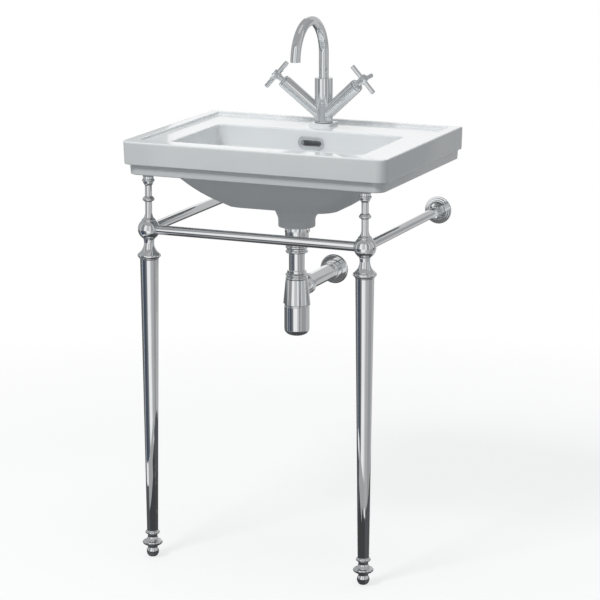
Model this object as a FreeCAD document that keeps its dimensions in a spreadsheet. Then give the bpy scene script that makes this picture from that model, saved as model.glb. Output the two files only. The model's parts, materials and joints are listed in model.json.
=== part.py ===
import FreeCAD, Part
import math
import os
import Sketcher

# A console wash basin: a ceramic basin whose front stands on two turned legs, tied by rails to each
# other and to the wall, with a bottle trap below and a two-handle mixer tap on its back ledge.
# Millimetres. +Z is up and Z = 0 is the floor, +Y points at the wall, X = 0 is the centre line, and
# Y = 0 is half way between the basin's front face and the wall.

SIZES = {
    # basin: the slab with its rim, and the moulding under it
    "basin_width": 560.0,
    "basin_depth": 432.0,
    "rim_height": 854.0,
    "slab_height": 46.0,
    "slab_draft": 1.75,
    "front_corner_radius": 20.0,
    "rim_edge_radius": 3.0,
    "moulding_inset": 9.0,
    "moulding_height": 21.0,
    "moulding_draft": 3.0,
    "moulding_corner_radius": 22.0,
    "rim_side_width": 23.0,
    "rim_front_width": 37.0,
    "rim_back_width": 14.0,
    "rim_drop": 6.0,
    "lip_corner_radius": 5.0,
    "deck_thickness": 12.0,
    "skirt_thickness": 12.0,
    "leg_block_width": 46.0,
    "leg_block_depth": 28.0,
    # basin: the bowl
    "opening_width": 406.0,
    "opening_front_setback": 56.0,
    "opening_back_setback": 126.0,
    "opening_corner_radius": 19.0,
    "bowl_wall": 11.0,
    "bowl_floor_thickness": 12.0,
    "bowl_shell_depth": 96.0,
    "bowl_fullness": 1.3,
    "bowl_side_gather": 107.0,
    "bowl_front_gather": 86.0,
    "bowl_back_gather": 56.0,
    "bowl_outer_corner_radius": 30.0,
    "bowl_corner_growth": 10.0,
    # basin: drain, overflow and tap ledge
    "drain_setback": 201.0,
    "floor_fall": 4.0,
    "seat_radius": 33.0,
    "drain_hole_radius": 23.0,
    "pedestal_radius": 37.5,
    "pedestal_length": 46.0,
    "pedestal_flare": 6.0,
    "overflow_drop": 33.0,
    "overflow_hole_length": 49.0,
    "overflow_hole_height": 16.0,
    "duct_width": 52.0,
    "duct_depth": 20.0,
    "channel_width": 34.0,
    "channel_depth": 10.0,
    "tap_setback": 60.0,
    "landing_width": 46.0,
    "landing_corner_radius": 4.0,
    "tap_hole_radius": 17.5,
    "wall_hole_spacing": 280.0,
    "wall_hole_drop": 42.0,
    "wall_hole_radius": 7.0,
    # overflow trim
    "trim_length": 58.0,
    "trim_height": 25.0,
    "trim_thickness": 2.5,
    "trim_sleeve_wall": 2.0,
    "trim_sleeve_depth": 9.0,
    "trim_clearance": 0.3,
    # waste fitting
    "waste_flange_radius": 31.5,
    "waste_flange_thickness": 2.6,
    "waste_thread_radius": 20.95,
    "waste_bore_radius": 17.5,
    "waste_length": 101.0,
    "waste_slot_width": 11.0,
    "waste_slot_height": 20.0,
    "spider_rib_width": 4.0,
    "spider_height": 7.0,
    "spider_drop": 24.0,
    "clicker_radius": 8.0,
    "clicker_rise": 12.0,
    "plug_radius": 30.0,
    "plug_thickness": 4.5,
    "plug_lift": 8.0,
    "plug_stem_radius": 4.5,
    "plug_seal_thickness": 1.5,
    "gasket_thickness": 2.5,
    "gasket_radius": 23.2,
    "backnut_radius": 23.8,
    "backnut_height": 24.0,
    "backnut_lug_reach": 3.8,
    "backnut_lug_width": 9.0,
    "backnut_lug_height": 11.0,
    # trap
    "tail_nut_radius": 22.5,
    "tail_nut_height": 14.0,
    "nut_lip": 3.0,
    "slip_clearance": 0.15,
    "dip_tube_radius": 16.0,
    "dip_tube_bore_radius": 14.8,
    "dip_tube_drop": 65.5,
    "collar_lip_radius": 19.5,
    "collar_lip_height": 1.5,
    "trap_nut_radius": 23.2,
    "trap_nut_height": 17.0,
    "sleeve_rise": 21.5,
    "sleeve_drop": 33.5,
    "sleeve_top_radius": 22.7,
    "sleeve_bottom_radius": 25.5,
    "sleeve_wall": 2.6,
    "wing_reach": 3.2,
    "wing_width": 9.0,
    "cup_radius": 25.5,
    "cup_wall": 2.0,
    "cup_length": 50.0,
    "cup_dome": 14.5,
    "cup_thread_height": 12.0,
    "cup_thread_radius": 22.5,
    "trap_drop": 83.5,
    "branch_radius": 19.0,
    "branch_bore_radius": 15.6,
    "outlet_nut_radius": 22.5,
    "outlet_nut_end": 51.0,
    "outlet_nut_length": 16.0,
    "outlet_pipe_radius": 16.2,
    "outlet_pipe_bore_radius": 15.0,
    "escutcheon_radius": 31.0,
    "escutcheon_thickness": 4.0,
    "escutcheon_collar_radius": 19.5,
    "escutcheon_collar_length": 35.0,
    # legs
    "leg_spacing": 460.0,
    "leg_setback": 23.5,
    "leg_foot_radius": 11.25,
    "leg_top_radius": 18.25,
    "leg_bottom": 55.0,
    "leg_top_drop": 60.5,
    "leg_wall": 2.2,
    "ferrule_radius": 14.6,
    "ferrule_bottom": 48.0,
    "collar_radius": 23.2,
    "collar_drop": 52.5,
    "neck_radius": 10.5,
    "neck_drop": 32.0,
    "ball_radius": 22.0,
    "post_base_radius": 13.5,
    "stud_radius": 5.0,
    "stud_clearance": 0.05,
    "socket_depth": 9.0,
    "socket_clearance": 0.1,
    "grub_radius": 2.5,
    "grub_length": 14.0,
    "grub_angle": 19.0,
    # feet
    "foot_ball_radius": 12.4,
    "foot_disc_radius": 20.2,
    "foot_disc_height": 30.0,
    "foot_gap": 0.3,
    "foot_stud_length": 34.0,
    # posts
    "post_radius": 7.0,
    "post_length": 106.5,
    "post_pad_thickness": 2.5,
    "post_cap_radius": 11.0,
    "post_cap_height": 6.5,
    "upper_bead_radius": 13.0,
    "lower_bead_radius": 12.3,
    "lower_bead_rise": 61.0,
    "dowel_height": 14.0,
    "dowel_clearance": 1.0,
    # rails and wall flanges
    "rail_radius": 9.5,
    "rail_bore_radius": 8.0,
    "flange_radius": 28.0,
    "flange_neck_radius": 8.9,
    "flange_neck_length": 22.0,
    "flange_spigot_length": 16.0,
    "spigot_clearance": 0.1,
    "plate_radius": 20.0,
    "plate_thickness": 3.0,
    "plate_boss_radius": 5.0,
    "plate_boss_length": 12.0,
    "plate_screw_circle_radius": 13.0,
    "plate_screw_hole_radius": 2.5,
    "plate_clearance": 0.3,
    # tap
    "tap_seal_thickness": 1.0,
    "tap_ring_height": 3.0,
    "tap_ring_radius": 19.2,
    "tap_ring_bore_radius": 15.5,
    "tap_column_radius": 18.5,
    "tap_column_height": 88.0,
    "spout_bore_depth": 34.0,
    "collar_bore_radius": 14.0,
    "spout_collar_height": 29.0,
    "spout_clearance": 0.05,
    "spout_radius": 10.25,
    "spout_bend_radius": 74.0,
    "spout_riser": 50.0,
    "aerator_radius": 8.6,
    "aerator_height": 8.0,
    "aerator_recess": 1.2,
    "arm_radius": 13.75,
    "arm_start": 4.0,
    "arm_length": 107.0,
    "arm_rise": 40.85,
    "arm_sweep": 13.6,
    "arm_root_rise": 8.0,
    "arm_recess": 5.0,
    "valve_radius": 10.5,
    "valve_length": 34.0,
    "spindle_radius": 3.5,
    "spindle_clearance": 0.05,
    "handle_stand_off": 22.0,
    "handle_stem_radius": 5.5,
    "handle_hub_radius": 7.0,
    "handle_bar_radius": 4.5,
    "handle_reach": 34.0,
    "handle_turn": 9.0,
    "inlet_radius": 4.6,
    "inlet_spread": 8.5,
    "inlet_depth": 14.0,
    "inlet_back_offset": 4.0,
    "tap_stud_radius": 4.0,
    "tap_stud_offset": 9.5,
    "tap_stud_depth": 12.0,
    "tap_stud_drop": 24.0,
    "clamp_radius": 24.0,
    "clamp_rubber_thickness": 3.0,
    "clamp_plate_thickness": 2.5,
    "clamp_nut_radius": 7.5,
    "clamp_nut_height": 7.0,
}

# how far down the bowl's shell each ruled band of its outside ends, as a share of the shell's depth
SHELL_BANDS = (0.0, 0.22, 0.48, 0.75, 1.0)
# the same for its inside, down to the bowl's floor
LINING_BANDS = (0.0, 0.3, 0.62, 1.0)

# the levels, in degrees about its centre, at which the foot's ball is turned in straight bands
FOOT_BALL_ANGLES = (-60, -30, 0, 20, 38)

OVERCUT = 1.0      # how far a cutting shape runs past the face that it opens
FULL_TURN = 360.0
TINY = 1e-6

DOC = FreeCAD.newDocument("console_basin")


class Size:
    """A number that also knows the expression over the sheet's cells that gives it."""

    def __init__(self, number, text):
        self.number = float(number)
        self.text = text

    @staticmethod
    def of(value):
        return value if isinstance(value, Size) else Size(value, f"({float(value)!r})")

    @staticmethod
    def joined(first, sign, second, number):
        return Size(number, f"({first.text} {sign} {second.text})")

    def __add__(self, other):
        other = Size.of(other)
        return Size.joined(self, "+", other, self.number + other.number)

    def __sub__(self, other):
        other = Size.of(other)
        return Size.joined(self, "-", other, self.number - other.number)

    def __mul__(self, other):
        other = Size.of(other)
        return Size.joined(self, "*", other, self.number * other.number)

    def __truediv__(self, other):
        other = Size.of(other)
        return Size.joined(self, "/", other, self.number / other.number)

    def __pow__(self, other):
        other = Size.of(other)
        return Size.joined(self, "^", other, self.number ** other.number)

    def __radd__(self, other):
        return Size.of(other) + self

    def __rsub__(self, other):
        return Size.of(other) - self

    def __rmul__(self, other):
        return Size.of(other) * self

    def __rtruediv__(self, other):
        return Size.of(other) / self

    def __neg__(self):
        return Size(-self.number, f"(0 - {self.text})")

    def sqrt(self):
        return Size(math.sqrt(self.number), f"sqrt({self.text})")

    def sin(self):
        return Size(math.sin(math.radians(self.number)), f"sin({self.text})")

    def cos(self):
        return Size(math.cos(math.radians(self.number)), f"cos({self.text})")


class Sheet:
    """The spreadsheet of driving sizes: one plain number to a cell, read back as a Size."""

    def __init__(self, sizes):
        cells = DOC.addObject("Spreadsheet::Sheet", "Sizes")
        for row, (name, value) in enumerate(sizes.items(), start=1):
            cells.set(f"A{row}", name)
            cells.set(f"B{row}", str(value))
            cells.setAlias(f"B{row}", name)
            setattr(self, name, Size(value, f"Sizes.{name}"))


S = Sheet(SIZES)
DOC.recompute()


# --- sketches -----------------------------------------------------------------------------------

def pin(held, geometry, point, x, y):
    """Hold a point of a sketch at x and y from the sketch's origin."""
    for kind, axis, value in (("DistanceX", -2, Size.of(x)), ("DistanceY", -1, Size.of(y))):
        if abs(value.number) < TINY:
            held.append((Sketcher.Constraint("PointOnObject", geometry, point, axis), None))
        else:
            held.append((Sketcher.Constraint(kind, -1, 1, geometry, point, value.number), value))


def hold(sketch, held):
    """Add constraints to a sketch and bind those that have a size to its expression."""
    first = sketch.ConstraintCount
    sketch.addConstraint([constraint for constraint, _ in held])
    for index, (_, value) in enumerate(held, start=first):
        if value is not None:
            sketch.setExpression(f"Constraints[{index}]", value.text)


def arc_between(start, end, bend):
    """The arc of radius |bend| from start to end; a bend over zero keeps its centre on the left."""
    chord = end - start
    middle = (start + end) * 0.5
    rise = math.sqrt(max(bend * bend - (chord.Length / 2) ** 2, 0.0))
    left = FreeCAD.Vector(-chord.y, chord.x, 0).normalize()
    centre = middle + left * math.copysign(rise, bend)
    angles = [math.atan2(p.y - centre.y, p.x - centre.x) for p in (start, end)]
    if bend < 0:
        angles.reverse()
    if angles[1] < angles[0]:
        angles[1] += 2 * math.pi
    circle = Part.Circle(centre, FreeCAD.Vector(0, 0, 1), abs(bend))
    return Part.ArcOfCircle(circle, angles[0], angles[1])


def hold_arc(held, index, start, end, corner, bend):
    """Hold an arc between pinned ends: by its radius, or a half circle by its centre's level."""
    radius = bend if bend.number > 0 else -bend
    chord = end - start
    if chord.Length < 2 * radius.number - TINY:
        held.append((Sketcher.Constraint("Radius", index, radius.number), radius))
        return
    kind, place = ("DistanceX", corner[0]) if abs(chord.x) < TINY else ("DistanceY", corner[1])
    place = Size.of(place)
    held.append((Sketcher.Constraint(kind, -1, 1, index, 3, place.number), place))


def outline(sketch, corners):
    """Draw a closed outline. A corner is (x, y), or (x, y, bend) where an arc leads to it."""
    spots = [FreeCAD.Vector(Size.of(c[0]).number, Size.of(c[1]).number, 0) for c in corners]
    held = []
    runs = []
    for here, corner in enumerate(corners):
        there = (here + 1) % len(corners)
        bend = Size.of(corners[there][2]) if len(corners[there]) > 2 else None
        if bend is None:
            index = sketch.addGeometry(Part.LineSegment(spots[here], spots[there]))
            runs.append((index, 1, 2))
        else:
            index = sketch.addGeometry(arc_between(spots[here], spots[there], bend.number))
            runs.append((index, 1, 2) if bend.number > 0 else (index, 2, 1))
            hold_arc(held, index, spots[here], spots[there], corners[there], bend)
        pin(held, runs[-1][0], runs[-1][1], corner[0], corner[1])
    for here, (index, _, last) in enumerate(runs):
        after, first, _ = runs[(here + 1) % len(runs)]
        held.append((Sketcher.Constraint("Coincident", index, last, after, first), None))
    hold(sketch, held)


def circle(sketch, x, y, radius):
    """Draw a circle about x and y."""
    radius = Size.of(radius)
    centre = FreeCAD.Vector(Size.of(x).number, Size.of(y).number, 0)
    index = sketch.addGeometry(Part.Circle(centre, FreeCAD.Vector(0, 0, 1), radius.number))
    held = [(Sketcher.Constraint("Radius", index, radius.number), radius)]
    pin(held, index, 3, x, y)
    hold(sketch, held)


def rectangle(sketch, left, bottom, right, top, radii=(0, 0, 0, 0)):
    """Draw a rectangle; radii round its corners from the lower left one, counter-clockwise."""
    a, b, c, d = (Size.of(r) if r else None for r in radii)
    corners = []
    corners += [(left, bottom)] if a is None else [(left, bottom + a), (left + a, bottom, a)]
    corners += [(right, bottom)] if b is None else [(right - b, bottom), (right, bottom + b, b)]
    corners += [(right, top)] if c is None else [(right, top - c), (right - c, top, c)]
    corners += [(left, top)] if d is None else [(left + d, top), (left, top - d, d)]
    outline(sketch, corners)


def slot(sketch, x, y, length, height):
    """Draw a slot with round ends, its length along the sketch's x, about x and y."""
    reach = (length - height) / 2
    half = height / 2
    outline(sketch, [(x - reach, y - half, half), (x + reach, y - half),
                     (x + reach, y + half, half), (x - reach, y + half)])


# --- pieces -------------------------------------------------------------------------------------

PIECES = []


def place(thing, at, turn=(0, 0, 0)):
    """Bind an object's Placement: its base point, and its yaw, pitch and roll in degrees."""
    base = "; ".join(Size.of(value).text for value in at)
    angles = "; ".join(Size.of(value).text for value in turn)
    thing.setExpression("Placement", f"placement(vector({base}); rotation({angles}))")


class Piece:
    """One sub-part as a PartDesign body, with short calls for the features that it is made by."""

    def __init__(self, name, at=(0, 0, 0), turn=(0, 0, 0), kept=True):
        self.name = name
        self.body = DOC.addObject("PartDesign::Body", name)
        self.body.Label = name
        self.steps = 0
        place(self.body, at, turn)
        if kept:
            PIECES.append(self.body)

    def feature(self, kind, word):
        self.steps += 1
        return self.body.newObject(kind, f"{self.name}_{word}_{self.steps}")

    def plane(self, role):
        return next(p for p in self.body.Origin.OriginFeatures if p.Role == role)

    def attach(self, thing, role, offset, turn=0):
        thing.AttachmentSupport = [(self.plane(role), "")]
        thing.MapMode = "FlatFace"
        for axis, value in zip("xyz", offset):
            thing.setExpression(f".AttachmentOffset.Base.{axis}", Size.of(value).text)
        if turn:
            thing.setExpression(".AttachmentOffset.Rotation.Angle", Size.of(turn).text)

    def sketch(self, role="XY_Plane", height=0, turn=0):
        """A sketch on one of the body's planes, moved along that plane's normal by height."""
        sketch = self.feature("Sketcher::SketchObject", "sketch")
        self.attach(sketch, role, (0, 0, height), turn)
        return sketch

    def turned(self, corners, kind="PartDesign::Revolution", depth=0):
        """Revolve a profile of (radius, height) corners about the body's Z axis, or cut it away.

        depth moves the axis along the body's Y.
        """
        profile = self.sketch("XZ_Plane", -Size.of(depth))
        outline(profile, corners)
        turning = self.feature(kind, "turning")
        turning.Profile = profile
        turning.ReferenceAxis = (profile, ["V_Axis"])
        turning.Angle = FULL_TURN
        return turning

    def bored(self, corners, depth=0):
        """Cut away a turned profile."""
        return self.turned(corners, "PartDesign::Groove", depth)

    def extruded(self, kind, sketch, length, reverse, middle, draft):
        step = self.feature(kind, "extrusion")
        step.Profile = sketch
        step.setExpression("Length", Size.of(length).text)
        step.Reversed = reverse
        step.Midplane = middle
        if draft is not None:
            step.setExpression("TaperAngle", Size.of(draft).text)
        return step

    def pad(self, sketch, length, reverse=False, middle=False, draft=None):
        return self.extruded("PartDesign::Pad", sketch, length, reverse, middle, draft)

    def pocket(self, sketch, length, reverse=False, middle=False, draft=None):
        return self.extruded("PartDesign::Pocket", sketch, length, reverse, middle, draft)

    def drilled(self, role, offset, radius, depth):
        """Cut a plain hole from offset, in the plane's own axes, along the plane's normal."""
        hole = self.feature("PartDesign::SubtractiveCylinder", "hole")
        self.attach(hole, role, offset)
        hole.setExpression("Radius", Size.of(radius).text)
        hole.setExpression("Height", Size.of(depth).text)
        return hole

    def rounded(self, radius, chosen):
        """Fillet the edges of the shape so far for which chosen(edge) is true."""
        DOC.recompute()
        base = self.body.Tip
        names = [f"Edge{i}" for i, edge in enumerate(base.Shape.Edges, start=1) if chosen(edge)]
        fillet = self.feature("PartDesign::Fillet", "fillet")
        fillet.Base = (base, names)
        fillet.setExpression("Radius", Size.of(radius).text)
        return fillet


def level(edge, height, slack=0.01):
    """True where the whole of an edge lies at one height."""
    box = edge.BoundBox
    return abs(box.ZMin - height.number) < slack and abs(box.ZMax - height.number) < slack


# --- levels and places that several pieces share ---------------------------------------------------

FRONT = -S.basin_depth / 2
WALL = S.basin_depth / 2
SLAB_BOTTOM = S.rim_height - S.slab_height
MOULDING_BOTTOM = SLAB_BOTTOM - S.moulding_height
DECK = S.rim_height - S.rim_drop
DECK_UNDERSIDE = DECK - S.deck_thickness
BOWL_BOTTOM = SLAB_BOTTOM - S.bowl_shell_depth
BOWL_FLOOR = BOWL_BOTTOM + S.bowl_floor_thickness
SEAT = BOWL_FLOOR - S.floor_fall
PEDESTAL_BOTTOM = BOWL_BOTTOM - S.pedestal_length
OVERFLOW_LEVEL = S.rim_height - S.overflow_drop
DRAIN_Y = WALL - S.drain_setback
TAP_Y = WALL - S.tap_setback
LEG_X = S.leg_spacing / 2
LEG_Y = FRONT + S.leg_setback
POST_TOP = MOULDING_BOTTOM - S.post_pad_thickness
BALL_LEVEL = POST_TOP - S.post_length
SIDES = (("left", -1), ("right", 1))


def shell_section(share, inset):
    """Half width, front, back and corner radius of the bowl's shell at a share of its depth."""
    gather = 1 - (1 - Size.of(share) ** S.bowl_fullness) ** (1 / S.bowl_fullness)
    half = S.opening_width / 2 + S.bowl_wall - S.bowl_side_gather * gather - inset
    front = FRONT + S.opening_front_setback - S.bowl_wall + S.bowl_front_gather * gather + inset
    back = WALL - S.opening_back_setback + S.bowl_wall - S.bowl_back_gather * gather - inset
    corner = S.bowl_outer_corner_radius + S.bowl_corner_growth * gather - inset
    return half, front, back, corner


def bowl_loft(piece, kind, sections):
    """Loft ruled bands through sections of (height, half width, front, back, corner radius)."""
    sketches = []
    for height, half, front, back, corner in sections:
        sketch = piece.sketch("XY_Plane", height)
        rectangle(sketch, -half, front, half, back, (corner,) * 4)
        sketches.append(sketch)
    loft = piece.feature(kind, "bowl")
    loft.Profile = sketches[0]
    loft.Sections = sketches[1:]
    loft.Ruled = True
    return loft


def make_basin():
    """The ceramic basin: slab, moulding, hollow underside, bowl, drain pedestal and overflow duct."""
    basin = Piece("basin")
    half = S.basin_width / 2
    spare = S.slab_height / 4
    front_rounds = (S.front_corner_radius, S.front_corner_radius, 0, 0)

    top = basin.sketch("XY_Plane", S.rim_height)
    rectangle(top, -half, FRONT, half, WALL + spare, front_rounds)
    basin.pad(top, S.slab_height, reverse=True, draft=-S.slab_draft)
    edge = half - S.moulding_inset
    moulding = basin.sketch("XY_Plane", SLAB_BOTTOM)
    moulding_rounds = (S.moulding_corner_radius, S.moulding_corner_radius, 0, 0)
    rectangle(moulding, -edge, FRONT + S.moulding_inset, edge, WALL + spare, moulding_rounds)
    basin.pad(moulding, S.moulding_height, reverse=True, draft=-S.moulding_draft)
    behind = basin.sketch("XY_Plane", S.rim_height)
    rectangle(behind, -half - spare, WALL, half + spare, WALL + 2 * spare)
    basin.pocket(behind, S.slab_height + S.moulding_height + OVERCUT)

    inner = edge - S.skirt_thickness
    near = FRONT + S.moulding_inset + S.skirt_thickness
    block_x = LEG_X - S.leg_block_width / 2
    block_y = near + S.leg_block_depth
    far = WALL - S.skirt_thickness
    hollow = basin.sketch("XY_Plane", MOULDING_BOTTOM)
    outline(hollow, [(-block_x, near), (block_x, near), (block_x, block_y), (inner, block_y),
                     (inner, far), (-inner, far), (-inner, block_y), (-block_x, block_y)])
    basin.pocket(hollow, DECK_UNDERSIDE - MOULDING_BOTTOM, reverse=True)

    outside = [(DECK_UNDERSIDE + S.deck_thickness / 2, *shell_section(0, 0))]
    for share in SHELL_BANDS:
        height = SLAB_BOTTOM - share * S.bowl_shell_depth
        outside.append((height, *shell_section(share, 0)))
    bowl_loft(basin, "PartDesign::AdditiveLoft", outside)

    foot = S.pedestal_radius
    bevel = S.pedestal_flare / 3
    basin.turned([
        (0, PEDESTAL_BOTTOM), (foot - bevel, PEDESTAL_BOTTOM), (foot, PEDESTAL_BOTTOM + bevel),
        (foot, BOWL_BOTTOM - S.pedestal_flare), (foot + S.pedestal_flare, BOWL_BOTTOM),
        (foot + S.pedestal_flare, SEAT), (0, SEAT),
    ], depth=DRAIN_Y)

    add_overflow_duct(basin)
    cut_top(basin)

    lining_depth = SLAB_BOTTOM - BOWL_FLOOR
    open_half = S.opening_width / 2
    open_front = FRONT + S.opening_front_setback
    open_back = WALL - S.opening_back_setback
    inside = [(DECK + OVERCUT, open_half, open_front, open_back, S.opening_corner_radius)]
    for share in LINING_BANDS:
        height = SLAB_BOTTOM - share * lining_depth
        inside.append((height, *shell_section(share * lining_depth / S.bowl_shell_depth, S.bowl_wall)))
    bowl_loft(basin, "PartDesign::SubtractiveLoft", inside)
    cut_floor_fall(basin, inside[-1])
    basin.drilled("XY_Plane", (0, DRAIN_Y, PEDESTAL_BOTTOM - OVERCUT), S.drain_hole_radius,
                  SEAT - PEDESTAL_BOTTOM + 2 * OVERCUT)

    cut_overflow_channel(basin)
    cut_fixing_holes(basin)

    top_edge = S.rim_height
    limit = half.number - S.rim_side_width.number / 2
    face = FRONT.number + S.rim_front_width.number / 2

    def outer_rim(line):
        box = line.BoundBox
        outside_rim = max(abs(box.XMin), abs(box.XMax)) > limit or box.YMin < face
        along_wall = box.YMin > WALL.number - OVERCUT
        return level(line, top_edge) and outside_rim and not along_wall

    basin.rounded(S.rim_edge_radius, outer_rim)


def cut_floor_fall(basin, floor):
    """Let the bowl's floor fall from all sides to the round seat of the waste."""
    height, half, front, _, corner = floor
    seat = S.seat_radius
    clear = corner / 3
    back = DRAIN_Y + seat - clear
    levels = ((height, half - clear, front + clear), (SEAT, seat, DRAIN_Y - seat))
    sketches = []
    for level_height, wide, near in levels:
        sketch = basin.sketch("XY_Plane", level_height)
        rectangle(sketch, -wide, near, wide, back)
        sketches.append(sketch)
    fall = basin.feature("PartDesign::SubtractiveLoft", "fall")
    fall.Profile = sketches[0]
    fall.Sections = sketches[1:]
    fall.Ruled = True
    basin.drilled("XY_Plane", (0, DRAIN_Y, SEAT), seat, S.floor_fall + OVERCUT)


def duct_line(outset):
    """The back of the overflow duct as (y, z) corners, outset from the bowl's shell behind it."""
    _, _, top_back, _ = shell_section(0, 0)
    _, _, middle_back, _ = shell_section(SHELL_BANDS[2], 0)
    middle = SLAB_BOTTOM - SHELL_BANDS[2] * S.bowl_shell_depth
    low = SLAB_BOTTOM - SHELL_BANDS[3] * S.bowl_shell_depth
    _, _, low_back, _ = shell_section(SHELL_BANDS[3], 0)
    return [(low_back + outset, low - outset), (middle_back + outset, middle - outset / 2),
            (top_back + outset, SLAB_BOTTOM - outset / 2)]


def add_overflow_duct(basin):
    """The hump down the back of the bowl that holds the overflow's channel."""
    upright = basin.sketch("YZ_Plane")
    start = DRAIN_Y + S.pedestal_radius / 2
    _, _, back, _ = shell_section(0, 0)
    low, middle, high = duct_line(S.duct_depth)
    outline(upright, [
        (start, PEDESTAL_BOTTOM + S.pedestal_flare),
        (DRAIN_Y + S.pedestal_radius, PEDESTAL_BOTTOM + S.pedestal_flare),
        low, middle, high, (high[0], DECK_UNDERSIDE + OVERCUT),
        (back - S.bowl_wall / 2, DECK_UNDERSIDE + OVERCUT), (back - S.bowl_wall / 2, SLAB_BOTTOM),
        (start, BOWL_BOTTOM + OVERCUT),
    ])
    basin.pad(upright, S.duct_width, middle=True)


def cut_overflow_channel(basin):
    """The channel inside the duct, from the overflow hole down to the drain hole."""
    upright = basin.sketch("YZ_Plane")
    near = duct_line((S.duct_depth - S.channel_depth) / 4)
    far = duct_line((S.duct_depth - S.channel_depth) / 4 + S.channel_depth)
    ceiling = OVERFLOW_LEVEL + S.overflow_hole_height / 2 + OVERCUT
    start = DRAIN_Y + S.drain_hole_radius / 2
    floor = PEDESTAL_BOTTOM + S.pedestal_flare * 2
    outline(upright, [
        (start, floor), (DRAIN_Y + S.pedestal_radius, floor + OVERCUT * 2), far[0], far[1], far[2],
        (far[2][0], ceiling), (near[2][0], ceiling), near[2], near[1], near[0],
        (start, floor + S.channel_depth * 2),
    ])
    basin.pocket(upright, S.channel_width, middle=True)
    hole = basin.sketch("XZ_Plane", -(WALL - S.opening_back_setback + S.bowl_wall / 2))
    slot(hole, Size.of(0), OVERFLOW_LEVEL, S.overflow_hole_length, S.overflow_hole_height)
    basin.pocket(hole, S.bowl_wall * 2, middle=True)


def cut_top(basin):
    """Sink the deck below the rim, leaving the raised landing that the tap stands on."""
    half = S.basin_width / 2
    side = half - S.rim_side_width
    recess = basin.sketch("XY_Plane", S.rim_height)
    rectangle(recess, -side, FRONT + S.rim_front_width, side, WALL - S.rim_back_width,
              (S.lip_corner_radius,) * 4)
    landing = S.landing_width / 2
    rectangle(recess, -landing, TAP_Y - landing, landing, TAP_Y + landing,
              (S.landing_corner_radius,) * 4)
    basin.pocket(recess, S.rim_drop)


def cut_fixing_holes(basin):
    """The tap hole, the two wall bolt holes and the blind holes over the posts' dowels."""
    thickness = S.rim_height - DECK_UNDERSIDE
    basin.drilled("XY_Plane", (0, TAP_Y, DECK_UNDERSIDE - OVERCUT), S.tap_hole_radius,
                  thickness + 2 * OVERCUT)
    for _, side in SIDES:
        along = side * S.wall_hole_spacing / 2
        basin.drilled("XZ_Plane", (along, S.rim_height - S.wall_hole_drop, -WALL - OVERCUT),
                      S.wall_hole_radius, S.skirt_thickness + 2 * OVERCUT)
        basin.drilled("XY_Plane", (side * LEG_X, LEG_Y, MOULDING_BOTTOM - OVERCUT),
                      S.stud_radius + S.dowel_clearance, S.dowel_height + OVERCUT)


def make_overflow_trim():
    """The chrome trim that lines the overflow hole."""
    face = WALL - S.opening_back_setback
    trim = Piece("overflow_trim")
    ring = trim.sketch("XZ_Plane", -face)
    slot(ring, Size.of(0), OVERFLOW_LEVEL, S.trim_length, S.trim_height)
    trim.pad(ring, S.trim_thickness)
    fit = 2 * S.trim_clearance
    sleeve = trim.sketch("XZ_Plane", -face)
    slot(sleeve, Size.of(0), OVERFLOW_LEVEL, S.overflow_hole_length - fit,
         S.overflow_hole_height - fit)
    trim.pad(sleeve, S.trim_sleeve_depth, reverse=True)
    wall = fit + 2 * S.trim_sleeve_wall
    mouth = trim.sketch("XZ_Plane", -face)
    slot(mouth, Size.of(0), OVERFLOW_LEVEL, S.overflow_hole_length - wall,
         S.overflow_hole_height - wall)
    trim.pocket(mouth, 3 * S.trim_sleeve_depth, middle=True)


# --- waste ----------------------------------------------------------------------------------------

DRAIN = (0, DRAIN_Y, 0)
WASTE_TOP = SEAT + S.waste_flange_thickness
WASTE_END = SEAT - S.waste_length
GASKET_BOTTOM = PEDESTAL_BOTTOM - S.gasket_thickness
BACKNUT_BOTTOM = GASKET_BOTTOM - S.backnut_height
SPIDER_TOP = SEAT - S.spider_drop
SPIDER_BOTTOM = SPIDER_TOP - S.spider_height
PLUG_BOTTOM = WASTE_TOP + S.plug_lift
STEM_BOTTOM = SPIDER_BOTTOM + S.plug_lift


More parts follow.
